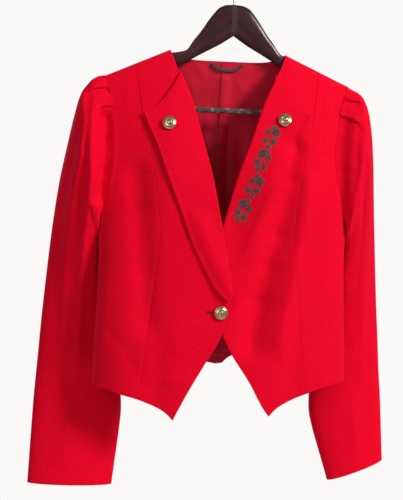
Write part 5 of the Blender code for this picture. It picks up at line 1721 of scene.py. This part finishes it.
def stitch_tree():
    """Each point becomes one stitch: a slim bead as long as its reach, turned along the cloth."""
    tree = bpy.data.node_groups.new("stitches", "GeometryNodeTree")
    tree.interface.new_socket("Geometry", in_out="INPUT", socket_type="NodeSocketGeometry")
    tree.interface.new_socket("Thread", in_out="INPUT", socket_type="NodeSocketFloat")
    tree.interface.new_socket("Material", in_out="INPUT", socket_type="NodeSocketMaterial")
    tree.interface.new_socket("Geometry", in_out="OUTPUT", socket_type="NodeSocketGeometry")
    given = tree.nodes.new("NodeGroupInput")
    made = tree.nodes.new("NodeGroupOutput")
    bead = tree.nodes.new("GeometryNodeMeshUVSphere")
    bead.inputs["Segments"].default_value = 6
    bead.inputs["Rings"].default_value = 4
    bead.inputs["Radius"].default_value = 0.5
    own = {}
    for name, kind in (("turn", "FLOAT_VECTOR"), ("reach", "FLOAT")):
        asked = tree.nodes.new("GeometryNodeInputNamedAttribute")
        asked.data_type = kind
        asked.inputs["Name"].default_value = name
        own[name] = next(socket for socket in asked.outputs if socket.enabled)
    size = tree.nodes.new("ShaderNodeCombineXYZ")
    placed = tree.nodes.new("GeometryNodeInstanceOnPoints")
    rounded = tree.nodes.new("GeometryNodeSetShadeSmooth")
    real = tree.nodes.new("GeometryNodeRealizeInstances")
    dyed = tree.nodes.new("GeometryNodeSetMaterial")
    link = tree.links.new
    link(bead.outputs["Mesh"], rounded.inputs["Geometry"])
    link(given.outputs["Geometry"], placed.inputs["Points"])
    link(rounded.outputs["Geometry"], placed.inputs["Instance"])
    link(own["turn"], placed.inputs["Rotation"])
    link(own["reach"], size.inputs["X"])
    link(given.outputs["Thread"], size.inputs["Y"])
    link(given.outputs["Thread"], size.inputs["Z"])
    link(size.outputs["Vector"], placed.inputs["Scale"])
    link(placed.outputs["Instances"], real.inputs["Geometry"])
    link(real.outputs["Geometry"], dyed.inputs["Geometry"])
    link(given.outputs["Material"], dyed.inputs["Material"])
    link(dyed.outputs["Geometry"], made.inputs["Geometry"])
    return tree


STITCHES = stitch_tree()


def sew(name, look, thread, cloths, stitches):
    """Lay stitches (x, z, turn in the cloth's plane, reach, tone) on the front of some cloths."""
    surfaces = []
    for cloth in cloths:
        corners = [vert.co for vert in cloth.data.vertices]
        surfaces.append(BVHTree.FromPolygons(corners, [face.vertices for face in cloth.data.polygons]))
    points, turns, reaches, tones = [], [], [], []
    for x, z, angle, reach, tone in stitches:
        hits = [surface.ray_cast(Vector((x, -0.2, z)), Vector((0, 1, 0))) for surface in surfaces]
        hits = [hit for hit in hits if hit[0] is not None]
        if not hits:
            continue
        place, normal = min(hits, key=lambda hit: hit[0].y)[:2]
        if normal.y > 0:
            normal = -normal
        along = Vector((math.cos(angle), 0.0, math.sin(angle)))
        along = (along - normal * along.dot(normal)).normalized()
        frame_of = Matrix((along, normal.cross(along), normal)).transposed()
        points.append(place + normal * thread * 0.30)
        turns += frame_of.to_euler()[:]
        reaches.append(reach)
        tones.append(tone)
    mesh = bpy.data.meshes.new(name)
    mesh.from_pydata(points, [], [])
    mesh.attributes.new("turn", "FLOAT_VECTOR", "POINT").data.foreach_set("vector", turns)
    mesh.attributes.new("reach", "FLOAT", "POINT").data.foreach_set("value", reaches)
    mesh.attributes.new("tone", "FLOAT", "POINT").data.foreach_set("value", tones)
    item = put_in_scene(name, mesh)
    laid = item.modifiers.new("stitches", "NODES")
    laid.node_group = STITCHES
    given = [socket for socket in STITCHES.interface.items_tree if socket.in_out == "INPUT"]
    sockets = {socket.name: socket.identifier for socket in given}
    laid[sockets["Thread"]] = thread
    laid[sockets["Material"]] = look
    settle(item)
    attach(item, "root")


def petal(x, z, axis, near, far, half, step, tone):
    """Satin stitches side by side across a petal or leaf that points along its axis."""
    count = max(3, round((far - near) / step))
    made = []
    for k in range(count):
        t = (k + 0.5) / count
        wide = 2 * half * math.sin(math.pi * t ** 0.85) ** 0.7
        out = near + (far - near) * t
        place = (x + math.cos(axis) * out, z + math.sin(axis) * out)
        made.append((*place, axis + math.pi / 2 + STITCH_SLANT, wide, tone + 0.25 * t))
    return made


def flower(x, z, petals, near, far, half, first, tone):
    """Petals round three small stitches."""
    made = []
    for n in range(petals):
        made += petal(x, z, first + 2 * math.pi * n / petals, near, far, half, PETAL_STEP, tone)
    for turn in (0.4, 2.5, 4.6):
        made.append((x + EYE_R * math.cos(turn), z + EYE_R * math.sin(turn), turn, 0.0006, 0.9))
    return made


random.seed(11)
vine_x = reader([(k, *point) for k, point in enumerate(VINE)], 1)
vine_z = reader([(k, *point) for k, point in enumerate(VINE)], 2)
stitches = []
for k in range(VINE_STITCHES):
    at = (len(VINE) - 1) * k / (VINE_STITCHES - 1)
    x0, z0, x1, z1 = vine_x(at - 0.02), vine_z(at - 0.02), vine_x(at + 0.02), vine_z(at + 0.02)
    sway = VINE_SWAY * math.sin(at * VINE_WAVES)
    stitches.append((vine_x(at) + sway, vine_z(at), math.atan2(z1 - z0, x1 - x0), VINE_STITCH, 0.30))
for x, z, lean in SPRIGS:
    dx, dz = math.cos(SPRIG_DOWN), math.sin(SPRIG_DOWN)
    ax, az = -dz * lean, dx * lean

    def spot(along, aside):
        return x + dx * along + ax * aside, z + dz * along + az * aside

    for along, aside, petals, near, far, half, leaning, turn, tone in FLOWERS:
        stitches += flower(*spot(along, aside), petals, near, far, half, leaning * lean + turn, tone)
    for along, aside, bend, length in LEAVES:
        axis = SPRIG_DOWN + bend * lean
        stitches += petal(*spot(along, aside), axis, 0.0004, length, LEAF_HALF, LEAF_STEP, 0.20)
    for along, aside in BERRIES:
        px, pz = spot(along, aside)
        for n in range(7):
            out = BERRY_R if n else 0.0
            turn = n * math.pi / 3
            stitches.append((px + out * math.cos(turn), pz + out * math.sin(turn), turn, 0.00075, 0.45))
uneven = []
for x, z, turn, reach, tone in stitches:
    turn += random.uniform(-0.10, 0.10)
    reach *= random.uniform(0.88, 1.08)
    uneven.append((x, z, turn, reach, min(1.0, tone + random.uniform(0.0, 0.2))))
silk = thread_look("grey_green_thread", (0.030, 0.052, 0.052), (0.115, 0.160, 0.155))
sew("embroidery_lapel_left", silk, THREAD, [lapels["left"]], uneven)

red_thread = thread_look("red_thread", (0.30, 0.001, 0.006), (0.52, 0.003, 0.014))
hole_left = JACKET_X - BUTTON_FRONT_U + BUTTONHOLE_PAST - BUTTONHOLE_L
stitches = []
for k in range(int(BUTTONHOLE_L / HOLE_STEP) + 1):
    x = hole_left + HOLE_STEP * k
    for way in (-1, 1):
        stitches.append((x, BUTTON_FRONT_Z + way * HOLE_EDGE, math.pi / 2, 0.0023, 0.25))
        stitches.append((x, BUTTON_FRONT_Z + way * HOLE_LIP, 0.0, 0.00058, 0.75))
for k in range(BAR_STITCHES):
    stitches.append((hole_left - 0.0004 - 0.0003 * k, BUTTON_FRONT_Z, math.pi / 2, 0.0048, 0.45))
sew("buttonhole_stitches", red_thread, SEWING_THREAD, [fronts["right"]], stitches)

black_thread = thread_look("black_thread", (0.006, 0.006, 0.007), (0.030, 0.028, 0.032))
stitches = []
for end, way in ((LOOP_LEFT_X, 1), (LOOP_RIGHT_X, -1)):
    for k in range(TACKS):
        x = end + way * (0.0008 + 0.0005 * k)
        stitches.append((x, LOOP_Z - 0.0010 - 0.0003 * k, math.pi / 2, 0.0036, 0.2 + 0.1 * (k % 3)))
sew("loop_bar_tacks", black_thread, SEWING_THREAD, [loop_tape], stitches)

satin_thread = thread_look("crimson_thread", (0.20, 0.002, 0.014), (0.42, 0.008, 0.040))
stitches = []
for k in range(SLIP_STITCHES + 1):
    u = SLIP_HALF * (2 * k / SLIP_STITCHES - 1)
    edge = neck_back_z(u) - LINING_TOP_DROP * (1.0 + 4.0 * smooth((abs(u) / 0.135 - 0.35) / 0.35))
    stitches.append((JACKET_X + u, edge - SLIP_DOWN, 0.35, 0.0016, random.random()))
sew("lining_slip_stitches", satin_thread, SEWING_THREAD, list(linings.values()), stitches)


# Hanger
# Two bent halves of stained and varnished wood meet in a joint under the hook. A round bar is
# set into their lobes, and a plated wire hook is screwed into the joint.
WIRE_R = 0.0018
HOOK_R = 0.0190
ARM_HALF_T = 0.0066
ARM_END = 0.168
LOBE_X = 0.1460
ARM_UNDER_CLOTH = 0.0028
ARM_TALL = 0.0190
BAR_R = 0.0042
BAR_Z = -0.2295
BAR_SEAT = 0.0004
HANGER_ARM = (
    # x from the middle, top z, underside z, half thickness
    (0.0002, -0.0700, -0.1170, 0.0082),
    (0.0120, -0.0710, -0.1250, 0.0082),
    (0.0220, -0.0750, -0.1315, 0.0081),
    (0.0310, -0.0845, -0.1365, 0.0079),
    (0.0400, -0.0970, -0.1415, 0.0077),
    (0.0490, -0.1110, -0.1465, 0.0074),
    (0.0600, -0.1255, -0.1530, 0.0070),
    (0.0720, -0.1415, -0.1605, 0.0066),
)
HANGER_LOBE = (
    # x from the middle, drop of the top, underside z, half thickness
    (LOBE_X + 0.0010, 0.0000, -0.2350, 0.0062),
    (0.1580, 0.0000, -0.2365, 0.0058),
    (0.1645, 0.0008, -0.2335, 0.0050),
    (ARM_END, 0.0050, -0.2260, 0.0032),
)
HOOK_NECK = (
    # x, z
    (0.0000, -0.0560),
    (0.0006, -0.0490),
    (0.0036, -0.0435),
)
ARM_MIDDLE_X = (0.0850, 0.1000, 0.1160, 0.1320, LOBE_X)
ARM_SQUARE = 0.75
RIM_FROM = 0.72
RIM_SHADE = 0.9
JOINT_HALF = 0.0030
JOINT_SHADE = 0.45
ARM_AROUND = 48
ARM_RINGS = 110
BAR_RINGS = 60
BAR_AROUND = 32
HOOK_FROM = -62.0
HOOK_SWEEP = 267.0
HOOK_PARTS = 22
HOOK_CURVE = 4
HOOK_END = (
    # share of the wire's radius past the tip, share of its width
    (0.50, 0.87),
    (0.87, 0.50),
    (0.98, 0.20),
)
HOOK_AROUND = 24


def wood_look():
    """Dark mahogany stain with a long grain under gloss varnish, near-black along the top of each arm."""
    made, tree, shader = new_look("dark_wood", {
        "Roughness": 0.30,
        "Specular IOR Level": 0.25,
        "Coat Weight": 0.30,
        "Coat Roughness": 0.14,
    })
    grain = noise(tree, place_on(tree, (14.0, 160.0, 160.0), "UV"), 1.0, 4.0, 0.6, 0.3)
    pores = noise(tree, place_on(tree, (60.0, 900.0, 900.0), "UV"), 1.0, 2.0)
    clouds = noise(tree, place_on(tree), 26.0, 2.0)
    browns = (
        (0.25, (0.022, 0.0042, 0.0050)),
        (0.50, (0.052, 0.0110, 0.0125)),
        (0.78, (0.105, 0.0270, 0.0270)),
    )
    stain = ramp(tree, grain, browns)
    deeper = ramp(tree, clouds, ((0.30, (0.55, 0.52, 0.54)), (0.70, (1.0, 1.0, 1.0))))
    colour = blend_colours(tree, 1.0, stain, deeper, "MULTIPLY")
    # Near-black along the top of each arm's section, where the rim value is high
    colour = blend_colours(tree, stored(tree, "rim"), colour, (0.0060, 0.0030, 0.0036))
    colour = blend_colours(tree, stored(tree, "joint"), colour, (0.070, 0.040, 0.050))
    tree.links.new(colour, shader.inputs["Base Color"])
    raise_surface(tree, shader, ((grain, 0.10, 0.0004), (pores, 0.16, 0.0001)))
    return made


WOOD = wood_look()


def tube(node, look, rings, shades=None):
    """A closed form through rings of points, shaded point by point, in place of the node's solid."""
    shades = shades or {}
    bm = bmesh.new()
    uv = bm.loops.layers.uv.new("grain")
    layers = {name: bm.verts.layers.float.new(name) for name in shades}
    loops = []
    for i, ring in enumerate(rings):
        loop = []
        for k, point in enumerate(ring):
            vert = bm.verts.new(point)
            for name, values in shades.items():
                vert[layers[name]] = values[i][k]
            loop.append(vert)
        loops.append(loop)
    around = len(rings[0])
    run = [0.0]
    for a, b in zip(rings, rings[1:]):
        run.append(run[-1] + (sum(b, Vector()) / around - sum(a, Vector()) / around).length)
    waist = rings[len(rings) // 2]
    girth = sum((a - b).length for a, b in zip(waist, waist[1:]))
    for i, (a, b) in enumerate(zip(loops, loops[1:])):
        for k in range(around):
            n = (k + 1) % around
            face = bm.faces.new((a[k], a[n], b[n], b[k]))
            for corner, (r, c) in zip(face.loops, ((i, k), (i, k + 1), (i + 1, k + 1), (i + 1, k))):
                corner[uv].uv = (run[r], girth * c / around)
    for ring, points in ((loops[0], rings[0]), (loops[-1], rings[-1])):
        middle = bm.verts.new(sum(points, Vector()) / around)
        for name in layers:
            middle[layers[name]] = ring[0][layers[name]]
        for k in range(around):
            bm.faces.new((ring[k], ring[(k + 1) % around], middle))
    bmesh.ops.recalc_face_normals(bm, faces=bm.faces)
    mesh = mesh_of(node, bm)
    mesh.shade_smooth()
    mesh.set_sharp_from_angle(angle=math.radians(50))
    mesh.materials.append(look)
    stand_for("turned_" + node, node, mesh)


def arm_top(side, x):
    """Top of a hanger arm, just under the shoulder that it carries."""
    return shoulder_z(x - side_sign(side) * JACKET_X) - ARM_UNDER_CLOTH


for side in SIDES:
    sign = side_sign(side)
    stations = list(HANGER_ARM)
    for x in ARM_MIDDLE_X:
        stations.append((x, arm_top(side, x), arm_top(side, x) - ARM_TALL, ARM_HALF_T))
    for x, drop, low, half in HANGER_LOBE:
        stations.append((x, arm_top(side, x) - drop, low, half))
    top_of, low_of, half_of = [reader(stations, c) for c in (1, 2, 3)]
    first_x = HANGER_ARM[0][0]
    places = [first_x + (ARM_END - first_x) * k / ARM_RINGS for k in range(ARM_RINGS - 3)]
    places += [places[-1] + (ARM_END - places[-1]) * s for s in (0.3, 0.55, 0.75, 0.9, 1.0)]
    rings, rims, joints = [], [], []
    for x in places:
        top, low, half = top_of(x), low_of(x), half_of(x)
        ring = []
        rim = []
        for k in range(ARM_AROUND):
            angle = 2 * math.pi * (k + 0.5) / ARM_AROUND
            c, s = math.cos(angle), math.sin(angle)
            y = half * math.copysign(abs(c) ** ARM_SQUARE, c)
            z = (top + low) / 2 + (top - low) / 2 * math.copysign(abs(s) ** ARM_SQUARE, s)
            ring.append(Vector((sign * x, y, z)))
            rim.append(smooth((s - RIM_FROM) / 0.16) * RIM_SHADE)
        rings.append(ring)
        rims.append(rim)
        near = 1.0 - smooth((x - JOINT_HALF) / 0.0012)
        joints.append([JOINT_SHADE * near] * ARM_AROUND)
    tube("hanger_arm_" + side, WOOD, rings, {"rim": rims, "joint": joints})


def bar_look():
    """Worn brown bar: varnish rubbed through in pale spots."""
    made, tree, shader = new_look("worn_bar", {"Roughness": 0.38, "Coat Weight": 0.30})
    grain = noise(tree, place_on(tree, (30.0, 500.0, 500.0)), 1.0, 3.0)
    wear = noise(tree, place_on(tree, (1.0, 1.6, 1.6)), 105.0, 4.0, 0.7)
    brown = ramp(tree, grain, ((0.30, (0.040, 0.022, 0.020)), (0.70, (0.100, 0.058, 0.050))))
    spots = shade(tree, wear, 0.54, 0.0, 0.66)
    tree.links.new(blend_colours(tree, spots, brown, (0.30, 0.22, 0.19)), shader.inputs["Base Color"])
    raise_surface(tree, shader, ((grain, 0.2, 0.0002), (wear, 0.2, 0.0002)))
    return made


reach = LOBE_X + BAR_SEAT
turns = [2 * math.pi * n / BAR_AROUND for n in range(BAR_AROUND)]
rings = []
for k in range(BAR_RINGS + 1):
    x = -reach + 2 * reach * k / BAR_RINGS
    rings.append([Vector((x, BAR_R * math.cos(a), BAR_Z + BAR_R * math.sin(a))) for a in turns])
tube("hanger_bar", bar_look(), rings)


def wire_look():
    """Bright plated wire, slightly dulled by handling."""
    made, tree, shader = new_look("steel_wire", {"Metallic": 1.0})
    smear = noise(tree, place_on(tree), 210.0, 3.0)
    plated = ramp(tree, smear, ((0.30, (0.42, 0.41, 0.41)), (0.70, (0.60, 0.60, 0.61))))
    tree.links.new(plated, shader.inputs["Base Color"])
    tree.links.new(shade(tree, smear, 0.30, 0.36, 0.70, 0.20), shader.inputs["Roughness"])
    raise_surface(tree, shader, ((smear, 0.05, 0.0001),))
    return made


radius = HOOK_R + WIRE_R
path = [Vector((0.0, 0.0, HANGER_ARM[0][1] + SIT))] + [Vector((x, 0.0, z)) for x, z in HOOK_NECK]
for k in range(HOOK_PARTS + 1):
    angle = math.radians(HOOK_FROM + HOOK_SWEEP * k / HOOK_PARTS)
    path.append(Vector((radius * math.cos(angle), 0.0, -HOOK_R + radius * math.sin(angle))))
path = curved(path, [HOOK_CURVE] * (len(path) - 1))
turns = [2 * math.pi * n / HOOK_AROUND for n in range(HOOK_AROUND)]
aside = Vector((0, 1, 0))
rings = []
for k, point in enumerate(path):
    ahead = (path[min(k + 1, len(path) - 1)] - path[max(k - 1, 0)]).normalized()
    across = ahead.cross(aside)
    rings.append([point + (across * math.cos(a) + aside * math.sin(a)) * WIRE_R for a in turns])
tip = path[-1]
onward = (path[-1] - path[-2]).normalized()
end = rings[-1]
for out, small in HOOK_END:
    rings.append([tip + onward * WIRE_R * out + (point - tip) * small for point in end])
tube("hanger_hook", wire_look(), rings)

# The boxes of the CAD model and of the finished one
low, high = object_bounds()
({
    "cad": [list(cad_low), list(cad_high)],
    "scene": [list(low), list(high)],
})
